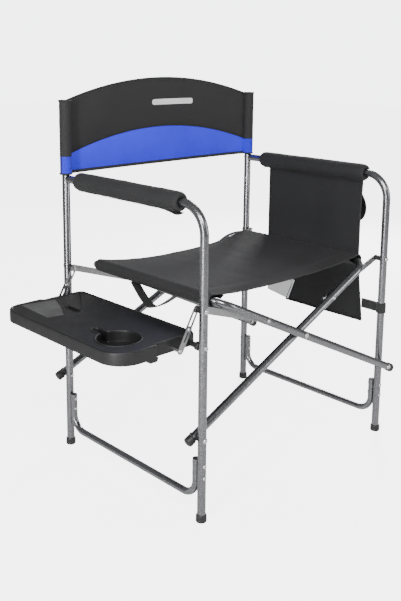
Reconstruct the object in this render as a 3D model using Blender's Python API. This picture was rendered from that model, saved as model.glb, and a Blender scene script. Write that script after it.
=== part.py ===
"""Folding director chair with a side table, a hanging organizer and a cross-braced tube frame.

Units are metres and +Z is up. The sitter faces -Y, the side table is at -X and the organizer at +X.
The chair is modelled about its own centre plane (x = 0, floor at z = 0) and moved at the end by
CENTRE_SHIFT, so that the origin is the bottom centre of its bounding box.
"""
import math

import bmesh
import bpy
from mathutils import Matrix, Vector

# ---- driving dimensions --------------------------------------------------------------------------
HALF_WIDTH = 0.325          # centre plane of the chair to the axis of each side frame
HALF_DEPTH = 0.242          # middle of the chair to the axis of each leg
TUBE_R = 0.0095             # 19 mm frame tube
STRETCHER_R = 0.008         # 16 mm lower stretcher
GAP = 0.0003                # running gap between neighbours
ARM_Z = 0.692               # axis of the arm tube
ARM_BEND = 0.062
POST_TOP = 0.872
LINK_Z = 0.4735             # bolt of the folding links and table braces
TABLE_HINGE_Z = 0.3936
LOWER_PIVOT_Z = 0.1888
RIVET_Z = (0.1294, 0.1030)  # rivets of the lower stretcher
STRETCHER_TOP = 0.1400
STRETCHER_Z = 0.0500
STRETCHER_BEND = 0.038
FOOT_HEIGHT = 0.017
FOOT_R = 0.0122

# ---- cross frames --------------------------------------------------------------------------------
CROSS_Z = 0.3468            # crossing pivot
RAIL_REACH = 0.2925         # crossing pivot to seat rail, along the tube
TAIL = 0.020                # tube past the lower pivot
CAP_DEPTH = 0.0125          # how far its end cap reaches over it
CROSS_TOP_Y = 0.232         # both cross frames, at the seat rail
CROSS_OUTER_Y = 0.2655      # lower pivot, leg that passes outside the side frame
CROSS_INNER_Y = 0.2185      # lower pivot, leg that passes inside the side frame
CROSS_BEND = 0.045
FOLD_DEG = 49.5             # swing of each cross frame from open to folded

# ---- links and braces: (near face, far face) as distances from the middle of the chair ---------
OUTER_LINK = (0.2225, 0.2255)
INNER_LINK = (0.2157, 0.2187)
LINK_HALF = 0.0078
FRONT_UPPER = (0.2198, 0.2218)
FRONT_LOWER = (0.2222, 0.2240)
BACK_UPPER = (0.2130, 0.2150)
BACK_LOWER = (0.2154, 0.2172)
BRACE_HALF = 0.0075
TABLE_RIVET = (-0.372, 0.3925)
UPPER_BRACE = 0.046

# ---- side table ----------------------------------------------------------------------------------
TABLE_X = (-0.5280, -0.3100)
TABLE_Y = 0.212
TABLE_Z = (0.3870, 0.4160)
RECESS_X = -0.420
RECESS_Y = 0.2045
CUP_CENTRE = (-0.4540, -0.1230)
CUP_R = 0.046

# ---- fabric --------------------------------------------------------------------------------------
SLEEVE_R = 0.0145
SEAT_FRONT = -0.200
SEAT_BACK = 0.190
BACKREST_BOTTOM = 0.704
BACKREST_SIDE_TOP = 0.882
BACKREST_TOP = 0.929
BACKREST_ARCH = 0.50        # drop of the top edge per square metre of distance from the middle
BAND_TOP = 0.802
BAND_ARCH = 0.54
PANEL_Y = (0.2504, 0.2584)
PANEL_BOW = 0.006
PAD_R = 0.0225
POCKET_OUT = 0.0470         # how far the organizer flap stands out from the side frame

CENTRE_SHIFT = -(TABLE_X[0] + HALF_WIDTH + POCKET_OUT) / 2

LEFT = -HALF_WIDTH
RIGHT = HALF_WIDTH
LOWER_REACH = math.hypot(HALF_WIDTH, CROSS_Z - LOWER_PIVOT_Z)
OPEN_ANGLE = math.atan2(CROSS_Z - LOWER_PIVOT_Z, HALF_WIDTH)
LEG_LENGTH = LOWER_REACH + RAIL_REACH


def link_reach():
    """Distance from the crossing pivot to the link rivet that closes the linkage open and folded."""
    sines = math.sin(OPEN_ANGLE) + math.sin(OPEN_ANGLE + math.radians(FOLD_DEG))
    return 1 / (2 * sines / (LINK_Z - LOWER_PIVOT_Z) - 1 / LOWER_REACH)


# ---- scene and materials -------------------------------------------------------------------------
for old in list(bpy.data.objects):
    bpy.data.objects.remove(old, do_unlink=True)


def material(name, colour, roughness, metallic=0.0):
    made = bpy.data.materials.new(name)
    made.use_nodes = True
    shader = made.node_tree.nodes["Principled BSDF"]
    shader.inputs["Base Color"].default_value = (*colour, 1.0)
    shader.inputs["Roughness"].default_value = roughness
    shader.inputs["Metallic"].default_value = metallic
    return made


COATED = (0.23, 0.23, 0.24), 0.32, 0.85
ZINC = (0.78, 0.78, 0.80), 0.25, 1.0
LINK_METAL = (0.42, 0.42, 0.44), 0.35, 0.9
BLACK_PLASTIC = (0.02, 0.02, 0.022), 0.45, 0.0
BLACK_CLOTH = (0.018, 0.018, 0.020), 0.85, 0.0
BLUE_CLOTH = (0.06, 0.09, 0.80), 0.80, 0.0
WEBBING = (0.015, 0.015, 0.016), 0.75, 0.0
LABEL = (0.75, 0.75, 0.76), 0.70, 0.0

BODIES = {}


def body(name, pivot):
    """An empty on the joint axis that carries every piece of one moving body."""
    empty = bpy.data.objects.new(name, None)
    empty.location = pivot
    bpy.context.collection.objects.link(empty)
    BODIES[name] = empty
    return empty


def add(name, mesh, look, owner, smooth_deg=35):
    """One named node, in its own material, parented to the empty of its body."""
    obj = bpy.data.objects.new(name, mesh)
    mesh.name = name
    mesh.materials.append(material(name, *look))
    mesh.shade_smooth()
    mesh.set_sharp_from_angle(angle=math.radians(smooth_deg))
    bpy.context.collection.objects.link(obj)
    obj.parent = BODIES[owner]
    obj.matrix_parent_inverse = Matrix.Translation(-BODIES[owner].location)
    return obj


def to_mesh(bm):
    mesh = bpy.data.meshes.new("shape")
    bmesh.ops.recalc_face_normals(bm, faces=bm.faces)
    bm.to_mesh(mesh)
    bm.free()
    return mesh


def join(*shapes):
    """Several bmesh shapes as separate solids of one mesh."""
    whole = bmesh.new()
    for shape in shapes:
        part = bpy.data.meshes.new("part")
        bmesh.ops.recalc_face_normals(shape, faces=shape.faces)
        shape.to_mesh(part)
        whole.from_mesh(part)
        shape.free()
        bpy.data.meshes.remove(part)
    mesh = bpy.data.meshes.new("shape")
    whole.to_mesh(mesh)
    whole.free()
    return mesh


# ---- shapes --------------------------------------------------------------------------------------
def rounded_path(corners, radius, steps=6):
    """A path through the corners, each inner corner replaced by an arc."""
    corners = [Vector(c) for c in corners]
    path = [corners[0]]
    for before, corner, after in zip(corners, corners[1:], corners[2:]):
        towards = (before - corner).normalized()
        away = (after - corner).normalized()
        half = towards.angle(away) / 2
        centre = corner + (towards + away).normalized() * (radius / math.sin(half))
        start = corner + towards * (radius / math.tan(half))
        end = corner + away * (radius / math.tan(half))
        normal = (start - centre).cross(end - centre).normalized()
        sweep_angle = math.pi - 2 * half
        for i in range(steps + 1):
            turn = Matrix.Rotation(sweep_angle * i / steps, 3, normal)
            path.append(centre + turn @ (start - centre))
    path.append(corners[-1])
    return path


def rings(bm, path, radius, sides):
    """Vertex rings square to the path; the quarter step keeps flats off the planes that cuts run in."""
    made = []
    side = None
    for i, point in enumerate(path):
        ahead = path[min(i + 1, len(path) - 1)] - point
        behind = point - path[max(i - 1, 0)]
        if max(ahead.length, behind.length) > 2 * min(ahead.length, behind.length):
            tangent = max(ahead, behind, key=lambda run: run.length).normalized()  # end of a straight
        else:
            tangent = (ahead.normalized() + behind.normalized()).normalized()
        if side is None:
            side = Vector((1, 0, 0)) if abs(tangent.x) < 0.5 else Vector((0, 1, 0))
        side = (side - tangent * side.dot(tangent)).normalized()
        up = tangent.cross(side)
        ring = []
        for k in range(sides):
            angle = 2 * math.pi * (k + 0.25) / sides
            ring.append(bm.verts.new(point + (side * math.cos(angle) + up * math.sin(angle)) * radius))
        made.append(ring)
    return made


def skin(bm, first, second):
    count = len(first)
    for k in range(count):
        bm.faces.new((first[k], first[(k + 1) % count], second[(k + 1) % count], second[k]))


def rod(path, radius, sides=12):
    """A solid tube along a path."""
    bm = bmesh.new()
    made = rings(bm, [Vector(p) for p in path], radius, sides)
    for first, second in zip(made, made[1:]):
        skin(bm, first, second)
    bm.faces.new(made[0])
    bm.faces.new(made[-1])
    return bm


def sleeve(path, inner, outer, sides=12):
    """A tube with a bore right through it."""
    bm = bmesh.new()
    path = [Vector(p) for p in path]
    outside = rings(bm, path, outer, sides)
    inside = rings(bm, path, inner, sides)
    for made in (outside, inside):
        for first, second in zip(made, made[1:]):
            skin(bm, first, second)
    skin(bm, outside[0], inside[0])
    skin(bm, outside[-1], inside[-1])
    return bm


def turned(start, direction, profile, sides=12):
    """A turned solid: profile points are (distance along the axis, radius), first and last on it."""
    bm = bmesh.new()
    axis = Vector(direction).normalized()
    side = Vector((0, 0, 1)) if abs(axis.z) < 0.5 else Vector((1, 0, 0))
    side = (side - axis * side.dot(axis)).normalized()
    up = axis.cross(side)
    made = []
    for along, radius in profile:
        centre = Vector(start) + axis * along
        if radius == 0:
            made.append([bm.verts.new(centre)])
            continue
        ring = []
        for k in range(sides):
            angle = 2 * math.pi * (k + 0.5) / sides
            ring.append(bm.verts.new(centre + (side * math.cos(angle) + up * math.sin(angle)) * radius))
        made.append(ring)
    for first, second in zip(made, made[1:]):
        if len(first) == 1 or len(second) == 1:
            tip, ring = (first[0], second) if len(first) == 1 else (second[0], first)
            for k in range(sides):
                bm.faces.new((tip, ring[k], ring[(k + 1) % sides]))
        else:
            skin(bm, first, second)
    return bm


def prism(outline, axis, low, high):
    """A flat outline pushed along X, Y or Z; outline points are in the other two axes, in order."""
    place = {
        "x": lambda a, b, d: (d, a, b),
        "y": lambda a, b, d: (a, d, b),
        "z": lambda a, b, d: (a, b, d),
    }[axis]
    bm = bmesh.new()
    near = [bm.verts.new(place(a, b, low)) for a, b in outline]
    far = [bm.verts.new(place(a, b, high)) for a, b in outline]
    skin(bm, near, far)
    bm.faces.new(near)
    bm.faces.new(far)
    return bm


def box(low, high):
    """An upright box between two corners."""
    corners = [(low[0], low[1]), (high[0], low[1]), (high[0], high[1]), (low[0], high[1])]
    return prism(corners, "z", low[2], high[2])


def arc(centre, radius, start_deg, end_deg, steps):
    """Points of an arc, in degrees anticlockwise."""
    points = []
    for i in range(steps + 1):
        angle = math.radians(start_deg + (end_deg - start_deg) * i / steps)
        points.append((centre[0] + radius * math.cos(angle), centre[1] + radius * math.sin(angle)))
    return points


def stadium(start, end, radius, steps=6):
    """Outline of a bar with round ends."""
    angle = math.degrees(math.atan2(end[1] - start[1], end[0] - start[0]))
    far_end = arc(end, radius, angle - 90, angle + 90, steps)
    return far_end + arc(start, radius, angle + 90, angle + 270, steps)


def bolt(x, z, head_y, tip_y, shank=0.0028, head=0.0055, head_height=0.0028):
    """A bolt along Y: domed head outside head_y, shank to tip_y, nut just inside the tip."""
    way = 1 if tip_y > head_y else -1
    length = abs(tip_y - head_y)
    nut_height = 0.0026
    profile = [
        (-head_height, 0), (-head_height, head * 0.62), (-head_height * 0.4, head), (0, head),
        (0, shank), (length - nut_height, shank), (length - nut_height, head * 0.86),
        (length, head * 0.86), (length, 0),
    ]
    return turned((x, head_y, z), (0, way, 0), profile, sides=10)


def cut(obj, cutters, name):
    """Cut holes with one hidden cutter made of separate solids."""
    tool = bpy.data.objects.new(name, join(*cutters))
    bpy.context.collection.objects.link(tool)
    tool.hide_render = True
    tool.display_type = "WIRE"
    tool.parent = obj.parent
    tool.matrix_parent_inverse = obj.matrix_parent_inverse.copy()
    change = obj.modifiers.new("holes", "BOOLEAN")
    change.operation = "DIFFERENCE"
    change.solver = "EXACT"
    change.object = tool
    return obj


def hole(x, z, y, half_length=0.014, radius=0.0032):
    """A cutter along Y through a tube whose axis is at y."""
    return rod([(x, y - half_length, z), (x, y + half_length, z)], radius, sides=10)


WAYS = ("front", -1), ("back", 1)


# ---- where the cross frames lie ------------------------------------------------------------------
def along_cross(lean, reach, inner_or_outer, front_or_back):
    """Point on a cross tube's leg at a distance from its lower pivot.

    lean is -1 for frame A, which rises to the left, and +1 for frame B, which rises to the right."""
    low_y = inner_or_outer
    share = reach / LEG_LENGTH
    y = low_y + (CROSS_TOP_Y - low_y) * share
    x = -lean * HALF_WIDTH + lean * reach * math.cos(OPEN_ANGLE)
    z = LOWER_PIVOT_Z + reach * math.sin(OPEN_ANGLE)
    return Vector((x, front_or_back * y, z))


def cross_leg(lean, side):
    """Distance from the middle of the chair of a leg at its lower pivot; side is -1 front, +1 back."""
    return CROSS_OUTER_Y if lean * side > 0 else CROSS_INNER_Y


def cross_corners(lean):
    return [
        along_cross(lean, -TAIL, cross_leg(lean, -1), -1),
        along_cross(lean, LEG_LENGTH, cross_leg(lean, -1), -1),
        along_cross(lean, LEG_LENGTH, cross_leg(lean, 1), 1),
        along_cross(lean, -TAIL, cross_leg(lean, 1), 1),
    ]


BEND_STEPS = 8


def cross_path(lean):
    return rounded_path(cross_corners(lean), CROSS_BEND, BEND_STEPS)


def rail_stretch(lean, extra):
    """The rail's part of a cross tube's path with some steps of both bends."""
    path = cross_path(lean)
    first_end = 1 + BEND_STEPS
    return path[first_end - extra:first_end + 2 + extra]


# ---- side frames ---------------------------------------------------------------------------------
def side_frame(side, owner):
    """Legs, arm, stretcher, feet and fasteners of one side; side is 'left' or 'right'."""
    x = LEFT if side == "left" else RIGHT
    heights = [LOWER_PIVOT_Z, LINK_Z, *RIVET_Z] + ([TABLE_HINGE_Z] if side == "left" else [])
    foot_floor = 0.0040

    arm_end = HALF_DEPTH - TUBE_R - GAP
    arm_corners = [(x, -HALF_DEPTH, foot_floor), (x, -HALF_DEPTH, ARM_Z), (x, arm_end, ARM_Z)]
    tube = rod(rounded_path(arm_corners, ARM_BEND), TUBE_R)
    front = add(f"{side}_leg_and_arm_tube", to_mesh(tube), COATED, owner)
    cut(front, [hole(x, z, -HALF_DEPTH) for z in heights], f"{side}_front_cutter")
    tube = rod([(x, HALF_DEPTH, foot_floor), (x, HALF_DEPTH, POST_TOP)], TUBE_R)
    post = add(f"{side}_back_post", to_mesh(tube), COATED, owner)
    cut(post, [hole(x, z, HALF_DEPTH) for z in heights], f"{side}_back_cutter")

    inset = HALF_DEPTH - TUBE_R - GAP - STRETCHER_R
    corners = [(x, -inset, STRETCHER_TOP), (x, -inset, STRETCHER_Z), (x, inset, STRETCHER_Z),
               (x, inset, STRETCHER_TOP)]
    tube = rod(rounded_path(corners, STRETCHER_BEND, 5), STRETCHER_R)
    bar = add(f"{side}_lower_stretcher", to_mesh(tube), COATED, owner)
    cut(bar, [hole(x, z, way * inset) for z in RIVET_Z for way in (-1, 1)], f"{side}_stretcher_cutter")
    for place, y in (("front", -HALF_DEPTH), ("back", HALF_DEPTH)):
        bore = TUBE_R + GAP
        cup = [(0, 0), (0, FOOT_R - 0.001), (0.001, FOOT_R), (FOOT_HEIGHT, FOOT_R), (FOOT_HEIGHT, bore),
               (foot_floor - GAP, bore), (foot_floor - GAP, 0)]
        add(f"{side}_{place}_foot", to_mesh(turned((x, y, 0), (0, 0, 1), cup)), BLACK_PLASTIC, owner)


def lower_pivots(side, lean, owner):
    """Bolts that hold the foot of a cross frame to a side frame."""
    x = -lean * HALF_WIDTH
    for place, way in WAYS:
        leg = cross_leg(lean, way)
        if leg > HALF_DEPTH:
            outside = way * (leg + TUBE_R + 0.0006)
            inside = way * (HALF_DEPTH - TUBE_R - GAP - 0.0030)
        else:
            outside = way * (HALF_DEPTH + TUBE_R + GAP)
            inside = way * (leg - TUBE_R - 0.0004 - 0.0030)
        add(f"{side}_{place}_lower_pivot_bolt", to_mesh(bolt(x, LOWER_PIVOT_Z, outside, inside)), ZINC, owner)


def cross_frame(letter, lean, owner):
    """One U-shaped cross tube with its seat rail, end caps and bolt holes."""
    tube = add(f"cross_tube_{letter}", to_mesh(rod(cross_path(lean), TUBE_R)), COATED, owner)
    holes = []
    for way in (-1, 1):
        for reach in (0, LOWER_REACH):
            point = along_cross(lean, reach, cross_leg(lean, way), way)
            holes.append(hole(point.x, point.z, point.y))
    cut(tube, holes, f"cross_{letter}_cutter")
    corners = cross_corners(lean)
    for place, end, inner in (("front", corners[0], corners[1]), ("back", corners[3], corners[2])):
        bore, skirt = TUBE_R + GAP, TUBE_R + 0.0016
        profile = [(GAP, 0), (GAP, bore), (-CAP_DEPTH, bore), (-CAP_DEPTH, skirt), (0.0018, skirt),
                   (0.0036, skirt * 0.8), (0.0036, 0)]
        cap = turned(end, end - inner, profile)
        add(f"cross_tube_{letter}_{place}_cap", to_mesh(cap), BLACK_PLASTIC, owner)


def crossing_pivots(owner):
    """Bolts where the two cross frames meet."""
    for place, way in WAYS:
        first = along_cross(-1, LOWER_REACH, cross_leg(-1, way), way).y
        second = along_cross(1, LOWER_REACH, cross_leg(1, way), way).y
        inner, outer = sorted((abs(first), abs(second)))
        shank = bolt(0, CROSS_Z, way * (outer + TUBE_R + 0.0006), way * (inner - TUBE_R - 0.0036))
        add(f"{place}_crossing_bolt", to_mesh(shank), ZINC, owner)


# ---- folding links -------------------------------------------------------------------------------
def link(name, lean, way, planes, owner):
    """A flat bar from the link bolt of a side frame to a cross tube; lean is that of the cross tube."""
    post = (lean * HALF_WIDTH, LINK_Z)
    rivet = along_cross(lean, LOWER_REACH + link_reach(), 0, 1)
    low, high = sorted(way * d for d in planes)
    strip = prism(stadium(post, (rivet.x, rivet.z), LINK_HALF), "y", low, high)
    bar = add(name, to_mesh(strip), LINK_METAL, owner)
    middle = (low + high) / 2
    holes = [hole(post[0], post[1], middle, 0.006), hole(rivet.x, rivet.z, middle, 0.006, 0.0027)]
    cut(bar, holes, name + "_cutter")
    return rivet.x, rivet.z


def link_rivet(x, z, way, planes):
    """The rivet in the free eye of a link: this is where the closed linkage is opened, so it stops
    level with the link's outer face."""
    near, far = planes
    profile = [(-0.0022, 0), (-0.0022, 0.0028), (-0.0008, 0.0047), (-GAP, 0.0047), (-GAP, 0.0024),
               (far - near, 0.0024), (far - near, 0)]
    return turned((x, way * near, z), (0, way, 0), profile, 10)


def link_planes(lean, way):
    """A link lies behind the outer leg of its cross tube or in front of the inner one."""
    return OUTER_LINK if lean * way > 0 else INNER_LINK


def side_links(side, owner):
    """Front and back link of one side with their rivets."""
    lean = -1 if side == "left" else 1
    for place, way in WAYS:
        planes = link_planes(lean, way)
        x, z = link(f"{side}_{place}_link", lean, way, planes, owner)
        add(f"{side}_{place}_link_rivet", to_mesh(link_rivet(x, z, way, planes)), ZINC, owner)


def link_bolts(side, owner):
    """Bolts through the posts for the links, and on the left for the table braces too."""
    x = LEFT if side == "left" else RIGHT
    lean = -1 if side == "left" else 1
    for place, way in WAYS:
        inner = link_planes(lean, way)[0]
        if side == "left":
            inner = FRONT_UPPER[0] if way < 0 else BACK_UPPER[0]
        pin = bolt(x, LINK_Z, way * (HALF_DEPTH + TUBE_R + GAP), way * (inner - GAP - 0.0028))
        add(f"{side}_{place}_link_bolt", to_mesh(pin), ZINC, owner)


# ---- side table ----------------------------------------------------------------------------------
def table_outline():
    """Plan of the table top: large outer corners, a step inwards beside each brace."""
    outer, inner = TABLE_X
    front_r, back_r = 0.058, 0.040
    points = arc((outer + front_r, -TABLE_Y + front_r), front_r, 180, 270, 8)
    points += [(RECESS_X - 0.006, -TABLE_Y), (RECESS_X, -RECESS_Y)]
    points += arc((inner - 0.012, -RECESS_Y + 0.012), 0.012, 270, 360, 3)
    points += arc((inner - 0.012, RECESS_Y - 0.012), 0.012, 0, 90, 3)
    points += [(RECESS_X, RECESS_Y), (RECESS_X - 0.006, TABLE_Y)]
    points += arc((outer + back_r, TABLE_Y - back_r), back_r, 90, 180, 7)
    return points


def side_table(owner):
    top = add("table_top", to_mesh(prism(table_outline(), "z", *TABLE_Z)), BLACK_PLASTIC, owner)
    below, above = TABLE_Z[0] - 0.01, TABLE_Z[1] + 0.01
    well_floor = TABLE_Z[0] + 0.0030
    cup = prism(arc(CUP_CENTRE, CUP_R, 0, 345, 23), "z", well_floor, above)
    cutters = [cup]
    for way in (-1, 1):
        pin = [(LEFT, way * (RECESS_Y - 0.022), TABLE_HINGE_Z), (LEFT, way * 0.23, TABLE_HINGE_Z)]
        cutters.append(rod(pin, 0.0032, 10))
        rivet_x, rivet_z = TABLE_RIVET
        pin = [(rivet_x, way * (RECESS_Y - 0.010), rivet_z), (rivet_x, way * 0.23, rivet_z)]
        cutters.append(rod(pin, 0.0027, 10))
    slot = stadium((-0.4110, 0.0800), (-0.4110, 0.1240), 0.0060, 4)
    cutters.append(prism(slot, "z", below, above))
    cut(top, cutters, "table_cutter")
    notch = stadium((CUP_CENTRE[0] + 0.001, CUP_CENTRE[1] + 0.020), (-0.4565, -0.0500), 0.0085, 4)
    cut(top, [prism(notch, "z", well_floor, above)], "table_notch_cutter")
    hook = prism([(-0.4480, TABLE_Z[0] - GAP), (-0.4180, TABLE_Z[0] - GAP), (-0.4220, TABLE_Z[0] - 0.0085),
                  (-0.4400, TABLE_Z[0] - 0.0085)], "y", -0.2090, -0.1950)
    add("table_stop_tab", to_mesh(hook), BLACK_PLASTIC, owner)

    for place, way, planes in (("front", -1, FRONT_LOWER), ("back", 1, BACK_LOWER)):
        far = planes[1] + GAP
        length = far - (RECESS_Y - 0.008)
        collar = far - planes[0] + GAP
        inner_end = far - RECESS_Y - GAP
        profile = [(-0.0020, 0), (-0.0020, 0.0028), (-0.0008, 0.0046), (0, 0.0046), (0, 0.0023),
                   (collar, 0.0023), (collar, 0.0042), (inner_end, 0.0042), (inner_end, 0.0023),
                   (length, 0.0023), (length, 0)]
        rivet = turned((rivet_x, way * far, rivet_z), (0, -way, 0), profile, 10)
        add(f"{place}_brace_rivet", to_mesh(rivet), ZINC, owner)


def table_hinges(owner):
    """Hinge bolts through the left posts into the ends of the table."""
    for place, way in WAYS:
        length = HALF_DEPTH + TUBE_R + GAP - (RECESS_Y - 0.018)
        profile = [(-0.0028, 0), (-0.0028, 0.0034), (-0.0011, 0.0055), (0, 0.0055), (0, 0.0028),
                   (length, 0.0028), (length, 0)]
        pin = turned((LEFT, way * (HALF_DEPTH + TUBE_R + GAP), TABLE_HINGE_Z), (0, -way, 0), profile, 10)
        add(f"table_{place}_hinge_bolt", to_mesh(pin), ZINC, owner)


def braces(upper_owner, lower_owner):
    """The two-piece folding braces that hold the table level."""
    top = Vector((LEFT, LINK_Z))
    rivet = Vector(TABLE_RIVET)
    way_down = (rivet - top).normalized()
    elbow = top + way_down * UPPER_BRACE
    pairs = (("front", -1, FRONT_UPPER, FRONT_LOWER), ("back", 1, BACK_UPPER, BACK_LOWER))
    for place, way, upper, lower in pairs:
        low, high = sorted(way * d for d in upper)
        strip = prism(stadium(top, elbow, BRACE_HALF), "y", low, high)
        piece = add(f"{place}_brace_upper", to_mesh(strip), LINK_METAL, upper_owner)
        window = stadium(top + way_down * 0.0120, elbow - way_down * 0.0075, 0.0036, 4)
        cutters = [hole(top.x, top.y, (low + high) / 2, 0.006),
                   prism(window, "y", low - 0.003, high + 0.003)]
        cut(piece, cutters, f"{place}_upper_cutter")
        low, high = sorted(way * d for d in lower)
        strip = prism(stadium(elbow, rivet, BRACE_HALF), "y", low, high)
        piece = add(f"{place}_brace_lower", to_mesh(strip), LINK_METAL, lower_owner)
        slot = stadium(elbow + way_down * 0.0010, elbow + way_down * 0.0240, 0.0019, 4)
        cutters = [prism(slot, "y", low - 0.003, high + 0.003),
                   hole(rivet.x, rivet.y, (low + high) / 2, 0.006, 0.0027)]
        cut(piece, cutters, f"{place}_lower_cutter")


# ---- fabric --------------------------------------------------------------------------------------
def strip(columns):
    """A closed band through columns of four points: front low, front high, back high, back low."""
    bm = bmesh.new()
    made = [[bm.verts.new(p) for p in column] for column in columns]
    for first, second in zip(made, made[1:]):
        skin(bm, first, second)
    bm.faces.new(made[0])
    bm.faces.new(made[-1])
    return bm


def backrest(owner):
    """Black upper panel and blue lower band, bowed back between the post sleeves."""
    edge = HALF_WIDTH - 0.0125
    count = 20

    def columns(bottom, top):
        made = []
        for i in range(count + 1):
            x = -edge + 2 * edge * i / count
            bow = PANEL_BOW * (1 - (x / edge) ** 2)
            near, far = PANEL_Y[0] + bow, PANEL_Y[1] + bow
            low, high = bottom(x), top(x)
            made.append([(x, near, low), (x, near, high), (x, far, high), (x, far, low)])
        return made

    def seam(x):
        return BAND_TOP - BAND_ARCH * x * x

    upper = strip(columns(lambda x: seam(x) + GAP, lambda x: BACKREST_TOP - BACKREST_ARCH * x * x))
    add("backrest_panel", to_mesh(upper), BLACK_CLOTH, owner)
    lower = strip(columns(lambda x: BACKREST_BOTTOM, lambda x: seam(x) - GAP))
    add("backrest_band", to_mesh(lower), BLUE_CLOTH, owner)


def post_sleeve(side, owner):
    """The end of the backrest that slips over a back post, closed at its top."""
    x = LEFT if side == "left" else RIGHT
    bore = TUBE_R + GAP
    profile = [
        (0, bore), (0, SLEEVE_R), (BACKREST_SIDE_TOP - BACKREST_BOTTOM - 0.002, SLEEVE_R),
        (BACKREST_SIDE_TOP - BACKREST_BOTTOM, SLEEVE_R - 0.002), (BACKREST_SIDE_TOP - BACKREST_BOTTOM, 0),
    ]
    roof = POST_TOP + GAP - BACKREST_BOTTOM
    bm = turned((x, HALF_DEPTH, BACKREST_BOTTOM), (0, 0, 1), profile, 12)
    bm.verts.ensure_lookup_table()
    mouth = [v for v in bm.verts if v.is_boundary]
    ring = sorted(mouth, key=lambda v: math.atan2(v.co.y - HALF_DEPTH, v.co.x - x))
    upper = [bm.verts.new((v.co.x, v.co.y, BACKREST_BOTTOM + roof)) for v in ring]
    skin(bm, ring, upper)
    bm.faces.new(upper)
    add(f"{side}_backrest_sleeve", to_mesh(bm), BLACK_CLOTH, owner)


def bend_inset(y):
    """How far the bend has turned in from the rail at a place along the rail."""
    past = abs(y) - (CROSS_TOP_Y - CROSS_BEND)
    if past <= 0:
        return 0.0
    return CROSS_BEND - math.sqrt(CROSS_BEND ** 2 - min(past, CROSS_BEND * 0.99) ** 2)


def seat(sling_owner, left_owner, right_owner):
    """Rail sleeves and the hanging sling between them."""
    bore = TUBE_R + 0.0004
    left = sleeve(rail_stretch(-1, 3), bore, SLEEVE_R)
    add("seat_sleeve_left", to_mesh(left), BLACK_CLOTH, left_owner)
    right = sleeve(rail_stretch(1, 3), bore, SLEEVE_R)
    add("seat_sleeve_right", to_mesh(right), BLACK_CLOTH, right_owner)

    rail = along_cross(1, LEG_LENGTH, 0, 1)
    across, deep = 14, 8
    thickness = 0.0030
    bm = bmesh.new()
    layers = []
    for drop in (0.0, thickness):
        grid = []
        for j in range(deep + 1):
            y = SEAT_FRONT + (SEAT_BACK - SEAT_FRONT) * j / deep
            turn = bend_inset(y)
            edge = rail.x - 0.0150 - turn * math.cos(OPEN_ANGLE)
            edge_z = rail.z + 0.0060 - turn * math.sin(OPEN_ANGLE)
            share = (y - SEAT_FRONT) / (SEAT_BACK - SEAT_FRONT)
            sag = 0.017 + 0.003 * share
            row = []
            for i in range(across + 1):
                x = -edge + 2 * edge * i / across
                z = edge_z - sag * (1 - (x / edge) ** 2) - drop
                row.append(bm.verts.new((x, y, z)))
            grid.append(row)
        layers.append(grid)
    for grid in layers:
        for j in range(deep):
            for i in range(across):
                bm.faces.new((grid[j][i], grid[j][i + 1], grid[j + 1][i + 1], grid[j + 1][i]))
    upper, lower = layers
    rims = [
        ([row[0] for row in upper], [row[0] for row in lower]),
        ([row[-1] for row in upper], [row[-1] for row in lower]),
        (upper[0], lower[0]),
        (upper[-1], lower[-1]),
    ]
    for above, below in rims:
        for k in range(len(above) - 1):
            bm.faces.new((above[k], above[k + 1], below[k + 1], below[k]))
    add("seat_sling", to_mesh(bm), BLACK_CLOTH, sling_owner)


def carry_handle(owner):
    """A flat webbing loop hanging from the left seat sleeve."""
    rail = along_cross(-1, LEG_LENGTH, 0, 1)
    top = rail.z - SLEEVE_R - 0.0006
    half_width = 0.0120
    thickness = 0.0016
    low = 0.4120
    count = 14
    bm = bmesh.new()
    made = []
    for i in range(count + 1):
        angle = math.pi * i / count
        y = -0.0185 + 0.0765 * math.cos(angle)
        drop = (top - low) * math.sin(angle) ** 0.8
        outward = Vector((0, 0.0765 * math.cos(angle), -(top - low) * math.sin(angle))).normalized()
        centre = Vector((rail.x, y, top - drop))
        inner = centre - outward * thickness
        if inner.z > top:
            inner.z = top
        column = []
        around = ((centre, -half_width), (centre, half_width), (inner, half_width), (inner, -half_width))
        for point, x in around:
            column.append(bm.verts.new((rail.x + x, point.y, point.z)))
        made.append(column)
    for first, second in zip(made, made[1:]):
        skin(bm, first, second)
    bm.faces.new(made[0])
    bm.faces.new(made[-1])
    add("carry_handle", to_mesh(bm), WEBBING, owner)


def arm_pad(owner):
    """The padded sleeve on the left arm."""
    path = [(LEFT, y, ARM_Z) for y in (-0.1740, -0.1700, 0.1850, 0.1900)]
    pad = sleeve(path, TUBE_R + 0.0004, PAD_R, 16)
    add("left_arm_pad", to_mesh(pad), BLACK_CLOTH, owner)


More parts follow.
